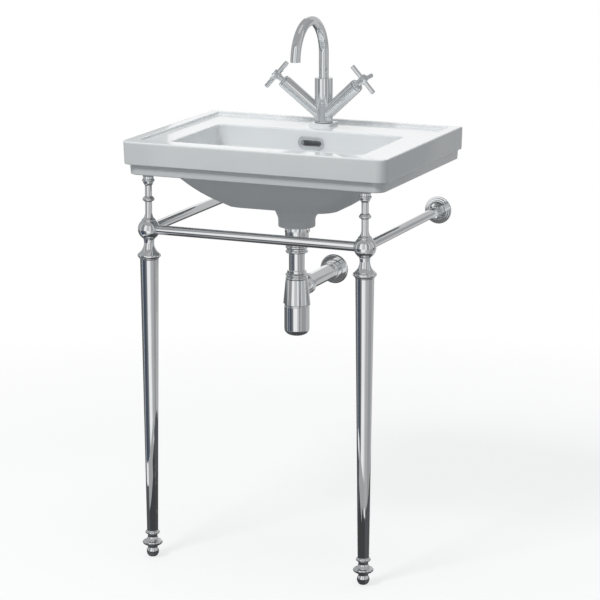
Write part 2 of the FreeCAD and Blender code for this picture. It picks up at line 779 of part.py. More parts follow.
def make_waste():
    """The waste fitting: flanged tube with overflow slots and the spider that holds the clicker."""
    body = Piece("waste_body", DRAIN)
    bevel = S.waste_flange_thickness / 2
    body.turned([
        (S.waste_bore_radius, WASTE_END), (S.waste_thread_radius, WASTE_END),
        (S.waste_thread_radius, SEAT), (S.waste_flange_radius, SEAT),
        (S.waste_flange_radius, SEAT + bevel), (S.waste_flange_radius - bevel, WASTE_TOP),
        (S.waste_bore_radius, WASTE_TOP),
    ])
    reach = 2 * S.waste_bore_radius + S.waste_thread_radius - S.waste_bore_radius
    half = S.spider_rib_width / 2
    for turn in (0, 90):
        ribs = body.sketch("XY_Plane", SPIDER_BOTTOM, turn)
        rectangle(ribs, -reach / 2, -half, reach / 2, half)
        body.pad(ribs, S.spider_height)
    hub = body.sketch("XY_Plane", SPIDER_BOTTOM)
    circle(hub, 0, 0, S.clicker_radius + half)
    body.pad(hub, S.spider_height)
    body.drilled("XY_Plane", (0, 0, SPIDER_BOTTOM - OVERCUT), S.clicker_radius,
                 S.spider_height + 2 * OVERCUT)
    slots = body.sketch("XZ_Plane")
    width = S.waste_slot_width / 2
    top = SPIDER_BOTTOM - half
    rectangle(slots, -width, top - S.waste_slot_height, width, top)
    body.pocket(slots, 3 * S.waste_thread_radius, middle=True)

    clicker = Piece("plug_clicker", DRAIN)
    bore = S.plug_stem_radius + S.spindle_clearance
    clicker.turned([
        (bore, SPIDER_BOTTOM), (S.clicker_radius, SPIDER_BOTTOM),
        (S.clicker_radius, SPIDER_TOP + S.clicker_rise), (bore, SPIDER_TOP + S.clicker_rise),
    ])

    plug = Piece("waste_plug", DRAIN)
    bevel = S.plug_thickness / 2
    plug.turned([
        (0, STEM_BOTTOM), (S.plug_stem_radius, STEM_BOTTOM), (S.plug_stem_radius, PLUG_BOTTOM),
        (S.plug_radius, PLUG_BOTTOM), (S.plug_radius, PLUG_BOTTOM + bevel),
        (S.plug_radius - bevel, PLUG_BOTTOM + S.plug_thickness), (0, PLUG_BOTTOM + S.plug_thickness),
    ])

    seal = Piece("plug_seal", DRAIN)
    seal.turned([
        (S.waste_bore_radius, PLUG_BOTTOM - S.plug_seal_thickness),
        (S.waste_thread_radius + half, PLUG_BOTTOM - S.plug_seal_thickness),
        (S.waste_thread_radius + half, PLUG_BOTTOM), (S.waste_bore_radius, PLUG_BOTTOM),
    ])

    make_backnut()


def make_backnut():
    """The backnut that pulls the waste down, with three lugs for gripping it."""
    nut = Piece("waste_backnut", DRAIN)
    nut.turned([
        (S.waste_thread_radius, BACKNUT_BOTTOM), (S.backnut_radius, BACKNUT_BOTTOM),
        (S.backnut_radius, GASKET_BOTTOM), (S.waste_thread_radius, GASKET_BOTTOM),
    ])
    lug = nut.sketch("XY_Plane", GASKET_BOTTOM)
    half = S.backnut_lug_width / 2
    inner = S.waste_thread_radius + (S.backnut_radius - S.waste_thread_radius) / 2
    rectangle(lug, inner, -half, S.backnut_radius + S.backnut_lug_reach, half)
    step = nut.pad(lug, S.backnut_lug_height, reverse=True)
    pattern = nut.feature("PartDesign::PolarPattern", "lugs")
    pattern.Originals = [step]
    pattern.Axis = (lug, ["N_Axis"])
    pattern.Angle = FULL_TURN
    pattern.Occurrences = 3
    nut.body.Tip = pattern


# --- bottle trap ----------------------------------------------------------------------------------

TAIL_NUT_BOTTOM = WASTE_END - S.nut_lip * 2
TUBE_TOP = WASTE_END - S.nut_lip / 2
OUTLET_LEVEL = WASTE_END - S.trap_drop
SLEEVE_TOP = OUTLET_LEVEL + S.sleeve_rise
SLEEVE_BOTTOM = OUTLET_LEVEL - S.sleeve_drop
SLEEVE_BORE = S.sleeve_top_radius - S.sleeve_wall
TRAP_NUT_TOP = SLEEVE_TOP + S.trap_nut_height
CUP_TOP = SLEEVE_BOTTOM + S.cup_thread_height
CUP_SIDE_BOTTOM = SLEEVE_BOTTOM - S.cup_length
CUP_BOTTOM = CUP_SIDE_BOTTOM - S.cup_dome


def slip_nut(name, at, turn, radius, bottom, top, lip_top, tube, thread):
    """A slip nut about the body's Z axis: a lip round the tube below, and a thread above it."""
    nut = Piece(name, at, turn, kept=False)
    bore = tube + S.slip_clearance
    nut.turned([
        (bore, bottom), (radius, bottom), (radius, top), (thread, top), (thread, lip_top),
        (bore, lip_top),
    ])
    return nut.body


def make_trap():
    """The bottle trap: dip tube, sleeve with its side branch, cup, nuts, seals and outlet pipe."""
    tail_nut = slip_nut("tail_nut", DRAIN, (0, 0, 0), S.tail_nut_radius, TAIL_NUT_BOTTOM,
                        TAIL_NUT_BOTTOM + S.tail_nut_height, TAIL_NUT_BOTTOM + S.nut_lip,
                        S.dip_tube_radius, S.waste_thread_radius)

    tube = Piece("dip_tube", DRAIN)
    lip = TUBE_TOP - S.collar_lip_height
    mouth = OUTLET_LEVEL - S.dip_tube_drop
    tube.turned([
        (S.dip_tube_bore_radius, mouth), (S.dip_tube_radius, mouth),
        (S.dip_tube_radius, lip), (S.collar_lip_radius, lip), (S.collar_lip_radius, TUBE_TOP),
        (S.dip_tube_bore_radius, TUBE_TOP),
    ])

    cone_top = SLEEVE_TOP + S.nut_lip
    trap_nut = slip_nut("trap_nut", (0, DRAIN_Y, TRAP_NUT_TOP), (0, 180, 0), S.trap_nut_radius, 0,
                        S.trap_nut_height, S.nut_lip, S.dip_tube_radius,
                        SLEEVE_BORE + S.sleeve_wall / 2)

    make_trap_body(cone_top)
    make_trap_cup()
    gather("slip_nuts", [tail_nut, trap_nut, make_outlet()])
    make_drain_seals(cone_top)


def make_trap_body(cone_top):
    """The tapered sleeve of the trap, with a threaded neck, two grip wings and the side branch."""
    body = Piece("trap_body", DRAIN)
    neck = SLEEVE_BORE + S.sleeve_wall / 2 - S.slip_clearance
    roof = SLEEVE_TOP - S.sleeve_wall
    dip = S.dip_tube_radius + S.slip_clearance
    thread = S.cup_thread_radius + S.slip_clearance
    body.turned([
        (thread, SLEEVE_BOTTOM), (S.sleeve_bottom_radius, SLEEVE_BOTTOM),
        (S.sleeve_top_radius, SLEEVE_TOP), (neck, SLEEVE_TOP), (neck, cone_top + S.nut_lip),
        (dip, cone_top + S.nut_lip), (dip, roof), (SLEEVE_BORE, roof), (SLEEVE_BORE, CUP_TOP + OVERCUT),
        (thread, CUP_TOP + OVERCUT),
    ])
    wing = body.sketch("XZ_Plane")
    half_wall = S.sleeve_wall / 2
    outline(wing, [(S.sleeve_bottom_radius - half_wall, SLEEVE_BOTTOM),
                   (S.sleeve_bottom_radius + S.wing_reach, SLEEVE_BOTTOM),
                   (S.sleeve_top_radius, SLEEVE_TOP), (S.sleeve_top_radius - half_wall, SLEEVE_TOP)])
    wings = body.pad(wing, S.wing_width, middle=True)
    pattern = body.feature("PartDesign::PolarPattern", "wings")
    pattern.Originals = [wings]
    pattern.Axis = (wing, ["V_Axis"])
    pattern.Angle = FULL_TURN
    pattern.Occurrences = 2
    body.body.Tip = pattern

    end = S.outlet_nut_end - S.nut_lip * 2
    branch = body.sketch("XZ_Plane", -end)
    circle(branch, 0, OUTLET_LEVEL, S.branch_radius)
    body.pad(branch, end - SLEEVE_BORE / 2)
    body.drilled("XZ_Plane", (0, OUTLET_LEVEL, -end - OVERCUT), S.branch_bore_radius,
                 end + OVERCUT - SLEEVE_BORE / 2)
    chamber = CUP_TOP + OVERCUT
    body.bored([(0, chamber), (SLEEVE_BORE, chamber), (SLEEVE_BORE, roof), (0, roof)])


def make_trap_cup():
    """The cup that unscrews for cleaning, with its thread up inside the sleeve."""
    cup = Piece("trap_cup", DRAIN)
    bore = S.cup_thread_radius - S.cup_wall
    dome = S.cup_dome
    cup.turned([
        (0, CUP_BOTTOM), (S.cup_radius - dome, CUP_BOTTOM),
        (S.cup_radius - dome / 4, CUP_BOTTOM + dome / 2),
        (S.cup_radius, CUP_SIDE_BOTTOM), (S.cup_radius, SLEEVE_BOTTOM),
        (S.cup_thread_radius, SLEEVE_BOTTOM), (S.cup_thread_radius, CUP_TOP), (bore, CUP_TOP),
        (bore, CUP_SIDE_BOTTOM - dome / 2), (0, CUP_SIDE_BOTTOM - dome / 2),
    ])


def make_outlet():
    """The outlet: its slip nut, the pipe into the wall, and the escutcheon against the wall."""
    towards_wall = (0, 0, -90)
    from_wall = (0, 0, 90)
    centre = (0, DRAIN_Y, OUTLET_LEVEL)
    start = S.outlet_nut_end - S.outlet_nut_length
    nut = slip_nut("outlet_nut", (0, DRAIN_Y + S.outlet_nut_end, OUTLET_LEVEL), from_wall,
                   S.outlet_nut_radius, 0, S.outlet_nut_length, S.nut_lip, S.outlet_pipe_radius,
                   S.branch_radius)
    pipe = Piece("outlet_pipe", centre, towards_wall)
    pipe_start = start + S.outlet_nut_length - S.nut_lip * 1.5
    pipe.turned([
        (S.outlet_pipe_bore_radius, pipe_start), (S.outlet_pipe_radius, pipe_start),
        (S.outlet_pipe_radius, S.drain_setback), (S.outlet_pipe_bore_radius, S.drain_setback),
    ])
    cover = Piece("wall_escutcheon", (0, WALL, OUTLET_LEVEL), from_wall)
    rim = S.escutcheon_thickness / 3
    bore = S.outlet_pipe_radius + S.slip_clearance
    collar = S.escutcheon_collar_radius
    cover.turned([
        (bore, 0), (S.escutcheon_radius, 0), (S.escutcheon_radius, 2 * rim),
        (S.escutcheon_radius - rim, S.escutcheon_thickness), (collar, S.escutcheon_thickness),
        (collar, S.escutcheon_collar_length), (bore, S.escutcheon_collar_length),
    ])
    return nut


def make_drain_seals(cone_top):
    """The rubber seals: under the pedestal, under the waste's end, in the trap's nut, on the cup."""
    seals = []
    rings = (
        ("pedestal", S.waste_thread_radius, S.gasket_radius, GASKET_BOTTOM, PEDESTAL_BOTTOM),
        ("tail", S.dip_tube_bore_radius, S.collar_lip_radius, TUBE_TOP, WASTE_END),
        ("inlet", S.dip_tube_radius, S.dip_tube_radius + S.nut_lip, cone_top + S.nut_lip,
         TRAP_NUT_TOP - S.nut_lip),
        ("cup", S.cup_thread_radius - S.cup_wall, S.cup_thread_radius, CUP_TOP, CUP_TOP + OVERCUT),
    )
    for word, inner, outer, bottom, top in rings:
        ring = Piece(f"{word}_seal_ring", DRAIN, kept=False)
        ring.turned([(inner, bottom), (outer, bottom), (outer, top), (inner, top)])
        seals.append(ring.body)
    gather("drain_seals", seals)


def gather(name, things, kind="Part::Compound", field="Links"):
    """Join finished things in one sub-part: a compound keeps them as separate solids."""
    group = DOC.addObject(kind, name)
    group.Label = name
    setattr(group, field, things)
    PIECES.append(group)
    return group


# --- legs, rails and wall flanges -------------------------------------------------------------------

LEG_TOP = BALL_LEVEL - S.leg_top_drop
COLLAR_LEVEL = BALL_LEVEL - S.collar_drop
NECK_LEVEL = BALL_LEVEL - S.neck_drop
LOWER_BEAD_LEVEL = BALL_LEVEL + S.lower_bead_rise
POST_BASE = BALL_LEVEL + (S.ball_radius ** 2 - S.post_base_radius ** 2).sqrt()
BALL_FOOT_RADIUS = S.neck_radius + 1.0
BALL_FOOT = BALL_LEVEL - (S.ball_radius ** 2 - BALL_FOOT_RADIUS ** 2).sqrt()
STUD_BOTTOM = BALL_LEVEL - S.stud_radius
SOCKET_START = S.ball_radius - S.socket_depth
FOOT_TOP = S.ferrule_bottom - S.foot_gap
BEAD = S.post_cap_height


def make_leg(word, side):
    """A hollow tapered leg with its turned collar, neck and ball head, bored for post and rails."""
    leg = Piece(f"leg_{word}", (side * LEG_X, LEG_Y, 0))
    bore = S.stud_radius + S.stud_clearance
    solid_top = LEG_TOP - S.leg_wall * 3
    solid_bottom = S.ferrule_bottom + S.foot_stud_length + S.leg_wall * 3
    hollow = S.leg_foot_radius - S.leg_wall
    rise = COLLAR_LEVEL - LEG_TOP
    flare = NECK_LEVEL - COLLAR_LEVEL
    leg.turned([
        (0, solid_top), (hollow, solid_top), (hollow, solid_bottom), (bore, solid_bottom),
        (bore, S.ferrule_bottom), (S.neck_radius, S.ferrule_bottom),
        (S.ferrule_radius, S.ferrule_bottom + S.leg_wall * 1.5),
        (S.ferrule_radius, S.leg_bottom - S.leg_wall), (S.leg_foot_radius, S.leg_bottom),
        (S.leg_top_radius, LEG_TOP), (S.leg_top_radius + S.leg_wall / 2, LEG_TOP + rise / 4),
        (S.collar_radius - S.leg_wall / 2, COLLAR_LEVEL - rise / 3),
        (S.collar_radius, COLLAR_LEVEL),
        (S.collar_radius - S.leg_wall / 2, COLLAR_LEVEL + rise / 3),
        (S.neck_radius, NECK_LEVEL, -flare * 1.3),
        (BALL_FOOT_RADIUS, BALL_FOOT, -flare * 1.2),
        (S.post_base_radius, POST_BASE, S.ball_radius),
        (bore, POST_BASE), (bore, STUD_BOTTOM - S.foot_gap), (0, STUD_BOTTOM - S.foot_gap),
    ])
    socket = S.rail_radius + S.socket_clearance
    sideways = SOCKET_START if side < 0 else -S.ball_radius - OVERCUT
    leg.drilled("YZ_Plane", (0, BALL_LEVEL, sideways), socket, S.socket_depth + OVERCUT)
    leg.drilled("XZ_Plane", (0, BALL_LEVEL, -S.ball_radius - OVERCUT), socket,
                S.socket_depth + OVERCUT)
    drill_grub_hole(leg, side)
    return leg


def grub_place(side, reach):
    """A point at a reach from the ball's axis, on the line of its pinch screw."""
    out = S.grub_angle.cos() * reach
    return side * out, -S.grub_angle.sin() * reach


def drill_grub_hole(leg, side):
    """The threaded hole of the pinch screw, square to the post's stud."""
    hole = leg.feature("PartDesign::SubtractiveCylinder", "grub_hole")
    start = S.stud_radius + S.stud_clearance - OVERCUT
    x, y = grub_place(side, start)
    hole.AttachmentSupport = [(leg.plane("XY_Plane"), "")]
    hole.MapMode = "FlatFace"
    yaw = -S.grub_angle if side > 0 else 180 + S.grub_angle
    hole.setExpression("AttachmentOffset", placement_text((x, y, BALL_LEVEL), (yaw, 90, 0)))
    hole.setExpression("Radius", (S.grub_radius + S.stud_clearance).text)
    hole.setExpression("Height", (S.ball_radius - start + OVERCUT).text)


def placement_text(at, turn):
    base = "; ".join(Size.of(value).text for value in at)
    angles = "; ".join(Size.of(value).text for value in turn)
    return f"placement(vector({base}); rotation({angles}))"


def make_post(word, side):
    """The turned post between the ball and the basin, with a stud below and a dowel above."""
    post = Piece(f"post_{word}", (side * LEG_X, LEG_Y, 0), kept=False)
    rod = S.post_radius
    low = LOWER_BEAD_LEVEL
    cap_bottom = POST_TOP - BEAD
    post.turned([
        (0, STUD_BOTTOM), (S.stud_radius, STUD_BOTTOM), (S.stud_radius, POST_BASE),
        (S.post_base_radius, POST_BASE), (S.post_base_radius, POST_BASE + BEAD / 3),
        (S.post_base_radius - 1, POST_BASE + BEAD / 2),
        (rod + BEAD / 4, POST_BASE + BEAD * 1.35), (rod, POST_BASE + BEAD * 2.5), (rod, low - BEAD),
        (S.lower_bead_radius - 1, low - BEAD / 3), (S.lower_bead_radius, low),
        (S.lower_bead_radius - 1, low + BEAD / 3), (rod, low + BEAD),
        (rod, cap_bottom - BEAD * 2), (S.post_cap_radius, cap_bottom - BEAD),
        (S.upper_bead_radius, cap_bottom - BEAD / 2), (S.upper_bead_radius, cap_bottom - BEAD / 4),
        (S.post_cap_radius, cap_bottom), (S.post_cap_radius, POST_TOP),
        (S.stud_radius, POST_TOP), (S.stud_radius, POST_TOP + S.dowel_height),
        (0, POST_TOP + S.dowel_height),
    ])
    return post.body


def make_foot(word, side):
    """The levelling foot: ball, disc and neck turned in one, on a threaded stud."""
    foot = Piece(f"foot_{word}", (side * LEG_X, LEG_Y, 0))
    ball = S.foot_ball_radius
    centre = -ball * Size.of(FOOT_BALL_ANGLES[0]).sin()
    bands = [(ball * Size.of(a).cos(), centre + ball * Size.of(a).sin()) for a in FOOT_BALL_ANGLES]
    neck, neck_height = bands[-1]
    disc = S.foot_disc_radius
    high = S.foot_disc_height
    foot.turned([
        (0, 0), *bands, (neck, neck_height + 3), (disc - 3, high - 4), (disc, high),
        (disc - 1, high + 3), (neck + 1, FOOT_TOP - 9), (neck, FOOT_TOP - 6), (neck, FOOT_TOP),
        (S.stud_radius, FOOT_TOP), (S.stud_radius, FOOT_TOP + S.foot_stud_length),
        (0, FOOT_TOP + S.foot_stud_length),
    ])


def make_rails():
    """The front rail between the balls and the two side rails back to the wall flanges."""
    gap = SOCKET_START + S.foot_gap
    front = Piece("rail_front", (-LEG_X, LEG_Y, BALL_LEVEL), (0, 90, 0))
    tube_along(front, gap, S.leg_spacing - gap)
    length = S.basin_depth - S.leg_setback - S.flange_neck_length
    for word, side in SIDES:
        rail = Piece(f"rail_{word}", (side * LEG_X, LEG_Y, BALL_LEVEL), (0, 0, -90))
        tube_along(rail, gap, length)


def tube_along(rail, start, end):
    """A rail's tube between two distances along the body's Z axis."""
    rail.turned([(S.rail_bore_radius, start), (S.rail_radius, start), (S.rail_radius, end),
                 (S.rail_bore_radius, end)])


def make_wall_flange(word, side):
    """The stepped rose on the wall, with its neck and the spigot that carries the side rail."""
    rose = Piece(f"wall_flange_{word}", (side * LEG_X, WALL, BALL_LEVEL), (0, 0, 90), kept=False)
    step = S.flange_radius / 8
    rise = S.plate_thickness / 2
    base = S.plate_thickness
    spigot = S.rail_bore_radius - S.spigot_clearance
    pocket = S.plate_radius + S.plate_clearance
    boss = S.plate_boss_radius + S.plate_clearance
    deep = S.plate_thickness + S.plate_clearance
    end = S.flange_neck_length
    rose.turned([
        (pocket, 0), (S.flange_radius, 0), (S.flange_radius, base), (S.flange_radius - 1, base + 1),
        (S.flange_radius - step, base + 1), (S.flange_radius - step, base + rise + 1),
        (S.flange_radius - step - 1, base + rise + 2), (S.flange_radius - 2 * step, base + rise + 2),
        (S.flange_radius - 2 * step, base + 2 * rise + 2),
        (S.flange_radius - 2 * step - 1, base + 2 * rise + 3),
        (S.flange_radius - 3 * step, base + 2 * rise + 3),
        (S.flange_radius - 3 * step - 1, base + rise + 2),
        (S.flange_neck_radius + step, base + rise + 1),
        (S.flange_neck_radius, base + rise + step * 2), (S.flange_neck_radius, end),
        (spigot, end), (spigot, end + S.flange_spigot_length), (0, end + S.flange_spigot_length),
        (0, deep + S.plate_boss_length), (boss, deep + S.plate_boss_length),
        (boss, deep), (pocket, deep),
    ])
    return rose.body


def make_wall_plates():
    """The two plates screwed to the wall, each with the boss that its rose slides over."""
    plates = []
    for word, side in SIDES:
        plate = Piece(f"plate_{word}", (side * LEG_X, WALL, BALL_LEVEL), (0, 0, 90), kept=False)
        top = S.plate_thickness + S.plate_boss_length
        disc = plate.turned([
            (0, 0), (S.plate_radius, 0), (S.plate_radius, S.plate_thickness),
            (S.plate_boss_radius, S.plate_thickness), (S.plate_boss_radius, top), (0, top),
        ])
        hole = plate.drilled("XY_Plane", (S.plate_screw_circle_radius, 0, -OVERCUT),
                             S.plate_screw_hole_radius, S.plate_thickness + 2 * OVERCUT)
        pattern = plate.feature("PartDesign::PolarPattern", "holes")
        pattern.Originals = [hole]
        pattern.Axis = (disc.Profile[0], ["V_Axis"])
        pattern.Angle = FULL_TURN
        pattern.Occurrences = 3
        plate.body.Tip = pattern
        plates.append(plate.body)
    gather("wall_plates", plates)


def make_stand():
    """Both legs with their feet, posts, pads, rails, flanges and pinch screws."""
    posts = []
    pads = []
    screws = []
    flanges = []
    for word, side in SIDES:
        make_leg(word, side)
        make_foot(word, side)
        posts.append(make_post(word, side))
        pad = Piece(f"pad_{word}", (side * LEG_X, LEG_Y, 0), kept=False)
        inner = S.stud_radius + S.dowel_clearance
        pad.turned([(inner, POST_TOP), (S.post_cap_radius, POST_TOP),
                    (S.post_cap_radius, MOULDING_BOTTOM), (inner, MOULDING_BOTTOM)])
        pads.append(pad.body)
        x, y = grub_place(side, S.stud_radius)
        yaw = -S.grub_angle if side > 0 else 180 + S.grub_angle
        screw = Piece(f"grub_{word}", (side * LEG_X + x, LEG_Y + y, BALL_LEVEL), (yaw, 90, 0),
                      kept=False)
        socket = S.grub_radius / 2
        screw.turned([(0, 0), (S.grub_radius, 0), (S.grub_radius, S.grub_length),
                      (socket, S.grub_length), (socket, S.grub_length / 2), (0, S.grub_length / 2)])
        screws.append(screw.body)
        flanges.append(make_wall_flange(word, side))
    make_rails()
    gather("posts", posts)
    gather("wall_flanges", flanges)
    gather("post_pads", pads)
    gather("pinch_screws", screws)
    make_wall_plates()


# --- tap ----------------------------------------------------------------------------------------

TAP = (0, TAP_Y, 0)
RING_BOTTOM = S.rim_height + S.tap_seal_thickness
COLUMN_BOTTOM = RING_BOTTOM + S.tap_ring_height
COLUMN_TOP = COLUMN_BOTTOM + S.tap_column_height
SPOUT_BEND_LEVEL = COLUMN_TOP + S.spout_riser
ARM_ROOT_LEVEL = COLUMN_BOTTOM + S.arm_root_rise
SPOUT_BOTTOM = COLUMN_TOP - S.spout_bore_depth + S.foot_gap
COLLAR_BOTTOM = COLUMN_TOP - S.spout_collar_height
VALVE_TOP = S.arm_length - S.arm_recess
STEM_START = VALVE_TOP + S.foot_gap
HANDLE_LEVEL = S.arm_length + S.handle_stand_off


def arm_frame(side):
    """Where an arm starts, and the turn that lays a body's Z axis along it."""
    return (0, TAP_Y, ARM_ROOT_LEVEL), (-side * S.arm_sweep, side * (90 - S.arm_rise), 0)


def make_tap_body():
    """The column with its two slanted arms, bored for the spout, the valves, inlets and stud."""
    column = Piece("tap_column", TAP, kept=False)
    bevel = 1.0
    column.turned([
        (0, COLUMN_BOTTOM), (S.tap_column_radius, COLUMN_BOTTOM),
        (S.tap_column_radius, COLUMN_TOP - bevel),
        (S.tap_column_radius - bevel, COLUMN_TOP), (0, COLUMN_TOP),
    ])
    solids = [column.body]
    cuts = []
    for word, side in SIDES:
        at, turn = arm_frame(side)
        arm = Piece(f"arm_{word}", at, turn, kept=False)
        arm.turned([(0, S.arm_start), (S.arm_radius, S.arm_start), (S.arm_radius, S.arm_length - bevel),
                    (S.arm_radius - bevel, S.arm_length), (0, S.arm_length)])
        solids.append(arm.body)
        bore = Piece(f"arm_bore_{word}", at, turn, kept=False)
        bore.turned([(0, VALVE_TOP - S.valve_length), (S.valve_radius, VALVE_TOP - S.valve_length),
                     (S.valve_radius, S.arm_length + OVERCUT), (0, S.arm_length + OVERCUT)])
        cuts.append(bore.body)
    spout_bore = Piece("spout_bore", TAP, kept=False)
    spout_bore.turned([
        (0, COLUMN_TOP - S.spout_bore_depth), (S.collar_bore_radius, COLUMN_TOP - S.spout_bore_depth),
        (S.collar_bore_radius, COLUMN_TOP + OVERCUT), (0, COLUMN_TOP + OVERCUT),
    ])
    cuts.append(spout_bore.body)
    holes = (
        ("hot_inlet", -S.inlet_spread, S.inlet_back_offset, S.inlet_radius, S.inlet_depth),
        ("cold_inlet", S.inlet_spread, S.inlet_back_offset, S.inlet_radius, S.inlet_depth),
        ("stud_hole", 0, -S.tap_stud_offset, S.tap_stud_radius, S.tap_stud_depth),
    )
    for name, x, y, radius, depth in holes:
        hole = Piece(name, (x, TAP_Y + y, COLUMN_BOTTOM), kept=False)
        hole.turned([(0, -OVERCUT), (radius, -OVERCUT), (radius, depth), (0, depth)])
        cuts.append(hole.body)
    outer = DOC.addObject("Part::MultiFuse", "tap_body_outside")
    outer.Shapes = solids
    inner = DOC.addObject("Part::MultiFuse", "tap_body_bores")
    inner.Shapes = cuts
    tap = DOC.addObject("Part::Cut", "tap_body")
    tap.Label = "tap_body"
    tap.Base = outer
    tap.Tool = inner
    PIECES.append(tap)


def make_tap_base():
    """The ring and seal under the column, and the clamp below the ledge that holds the tap down."""
    ring = Piece("tap_base_ring", TAP)
    ring.turned([
        (S.tap_ring_bore_radius, RING_BOTTOM), (S.tap_ring_radius, RING_BOTTOM),
        (S.tap_ring_radius, COLUMN_BOTTOM), (S.tap_ring_bore_radius, COLUMN_BOTTOM),
    ])
    seal = Piece("tap_base_seal", TAP)
    outer = S.tap_ring_radius - 1
    seal.turned([(S.tap_ring_bore_radius, S.rim_height), (outer, S.rim_height),
                 (outer, RING_BOTTOM), (S.tap_ring_bore_radius, RING_BOTTOM)])
    stud_place = (0, TAP_Y - S.tap_stud_offset, 0)
    stud = Piece("tap_stud", stud_place)
    stud.turned([
        (0, DECK_UNDERSIDE - S.tap_stud_drop), (S.tap_stud_radius, DECK_UNDERSIDE - S.tap_stud_drop),
        (S.tap_stud_radius, COLUMN_BOTTOM + S.tap_stud_depth - 1),
        (0, COLUMN_BOTTOM + S.tap_stud_depth - 1),
    ])
    plate_top = DECK_UNDERSIDE - S.clamp_rubber_thickness
    nut_top = plate_top - S.clamp_plate_thickness
    for name, top, thickness in (("clamp_rubber", DECK_UNDERSIDE, S.clamp_rubber_thickness),
                                 ("clamp_plate", plate_top, S.clamp_plate_thickness)):
        plate = Piece(name, TAP)
        shape = plate.sketch("XY_Plane", top - thickness)
        horseshoe(shape)
        plate.pad(shape, thickness)
    nut = Piece("clamp_nut", stud_place)
    hexagon = nut.sketch("XY_Plane", nut_top - S.clamp_nut_height)
    across = S.clamp_nut_radius
    corners = [Size.of(60 * k) for k in range(6)]
    outline(hexagon, [(across * corner.cos(), across * corner.sin()) for corner in corners])
    circle(hexagon, 0, 0, S.tap_stud_radius)
    nut.pad(hexagon, S.clamp_nut_height)


def horseshoe(sketch):
    """A disc open at the back, so that it slips round the supply tails, with a hole for the stud."""
    reach = S.clamp_radius
    gap = S.inlet_spread + S.inlet_radius + 1
    start = (reach ** 2 - gap ** 2).sqrt()
    front = -S.tap_stud_offset + S.tap_stud_radius + 3
    outline(sketch, [(-gap, start), (-reach, Size.of(0), reach), (Size.of(0), -reach, reach),
                     (reach, Size.of(0), reach), (gap, start, reach), (gap, front + gap / 4),
                     (gap / 2, front), (-gap / 2, front), (-gap, front + gap / 4)])
    circle(sketch, 0, -S.tap_stud_offset, S.tap_stud_radius)


def make_spout():
    """The swan-neck spout in its bearing collar, with the aerator in its mouth."""
    spout = Piece("spout", TAP)
    path = spout.sketch("YZ_Plane")
    radius = S.spout_bend_radius
    bottom, top, mouth = ((0, SPOUT_BOTTOM), (0, SPOUT_BEND_LEVEL), (-2 * radius, SPOUT_BEND_LEVEL))
    spots = [FreeCAD.Vector(Size.of(y).number, z.number, 0) for y, z in (bottom, top, mouth)]
    rise = path.addGeometry(Part.LineSegment(spots[0], spots[1]))
    bend = path.addGeometry(arc_between(spots[1], spots[2], radius.number))
    held = [(Sketcher.Constraint("Coincident", rise, 2, bend, 1), None)]
    hold_arc(held, bend, spots[1], spots[2], mouth, radius)
    pin(held, rise, 1, *bottom)
    pin(held, rise, 2, *top)
    pin(held, bend, 2, *mouth)
    hold(path, held)
    section = spout.sketch("XY_Plane", SPOUT_BOTTOM)
    circle(section, 0, 0, S.spout_radius)
    pipe = spout.feature("PartDesign::AdditivePipe", "tube")
    pipe.Profile = section
    pipe.Spine = (path, ["Edge1", "Edge2"])
    spout.drilled("XY_Plane", (0, -2 * radius, SPOUT_BEND_LEVEL - OVERCUT), S.aerator_radius,
                  S.aerator_height + S.aerator_recess + OVERCUT)

    aerator = Piece("aerator", (0, TAP_Y - 2 * radius, SPOUT_BEND_LEVEL))
    rim = S.aerator_radius / 4
    aerator.turned([
        (0, 2 * S.aerator_recess), (S.aerator_radius - rim, 2 * S.aerator_recess),
        (S.aerator_radius - rim, S.aerator_recess), (S.aerator_radius, S.aerator_recess),
        (S.aerator_radius, S.aerator_recess + S.aerator_height),
        (0, S.aerator_recess + S.aerator_height),
    ])

    bore = S.spout_radius + S.spout_clearance
    collar = Piece("spout_collar", TAP)
    collar.turned([(bore, COLLAR_BOTTOM), (S.collar_bore_radius, COLLAR_BOTTOM),
                   (S.collar_bore_radius, COLUMN_TOP), (bore, COLUMN_TOP)])


def make_valve_and_handle(word, side):
    """One side's ceramic-disc valve, its spindle, and the cross handle that turns it."""
    at, turn = arm_frame(side)
    valve = Piece(f"valve_{word}", at, turn, kept=False)
    bore = S.spindle_radius + S.spindle_clearance
    bottom = VALVE_TOP - S.valve_length
    well = VALVE_TOP - S.valve_length / 2
    valve.turned([
        (0, bottom), (S.valve_radius, bottom), (S.valve_radius, VALVE_TOP), (bore, VALVE_TOP),
        (bore, well), (0, well),
    ])
    spindle = Piece(f"spindle_{word}", at, turn)
    spindle_top = HANDLE_LEVEL - S.handle_hub_radius
    spindle.turned([(0, well + S.foot_gap), (S.spindle_radius, well + S.foot_gap),
                    (S.spindle_radius, spindle_top), (0, spindle_top)])

    handle = Piece(f"handle_{word}", at, turn)
    hub = S.handle_hub_radius
    bevel = 1.0
    stem = S.handle_stem_radius
    handle.turned([
        (S.spindle_radius, STEM_START), (stem, STEM_START), (stem, HANDLE_LEVEL - hub),
        (hub, HANDLE_LEVEL - hub), (hub, HANDLE_LEVEL + hub - bevel),
        (hub - bevel, HANDLE_LEVEL + hub), (0, HANDLE_LEVEL + hub), (0, spindle_top),
        (S.spindle_radius, spindle_top),
    ])
    angle = side * S.handle_turn
    for quarter in range(4):
        bar = handle.sketch("XZ_Plane")
        bar.setExpression("AttachmentOffset", placement_text((0, 0, 0), (0, angle + 90 * quarter, 0)))
        edge = HANDLE_LEVEL + S.handle_bar_radius
        outline(bar, [(hub / 2, HANDLE_LEVEL), (S.handle_reach, HANDLE_LEVEL), (S.handle_reach, edge),
                      (hub / 2, edge)])
        turning = handle.feature("PartDesign::Revolution", "bar")
        turning.Profile = bar
        turning.ReferenceAxis = (bar, ["Edge1"])
        turning.Angle = FULL_TURN
    return valve.body


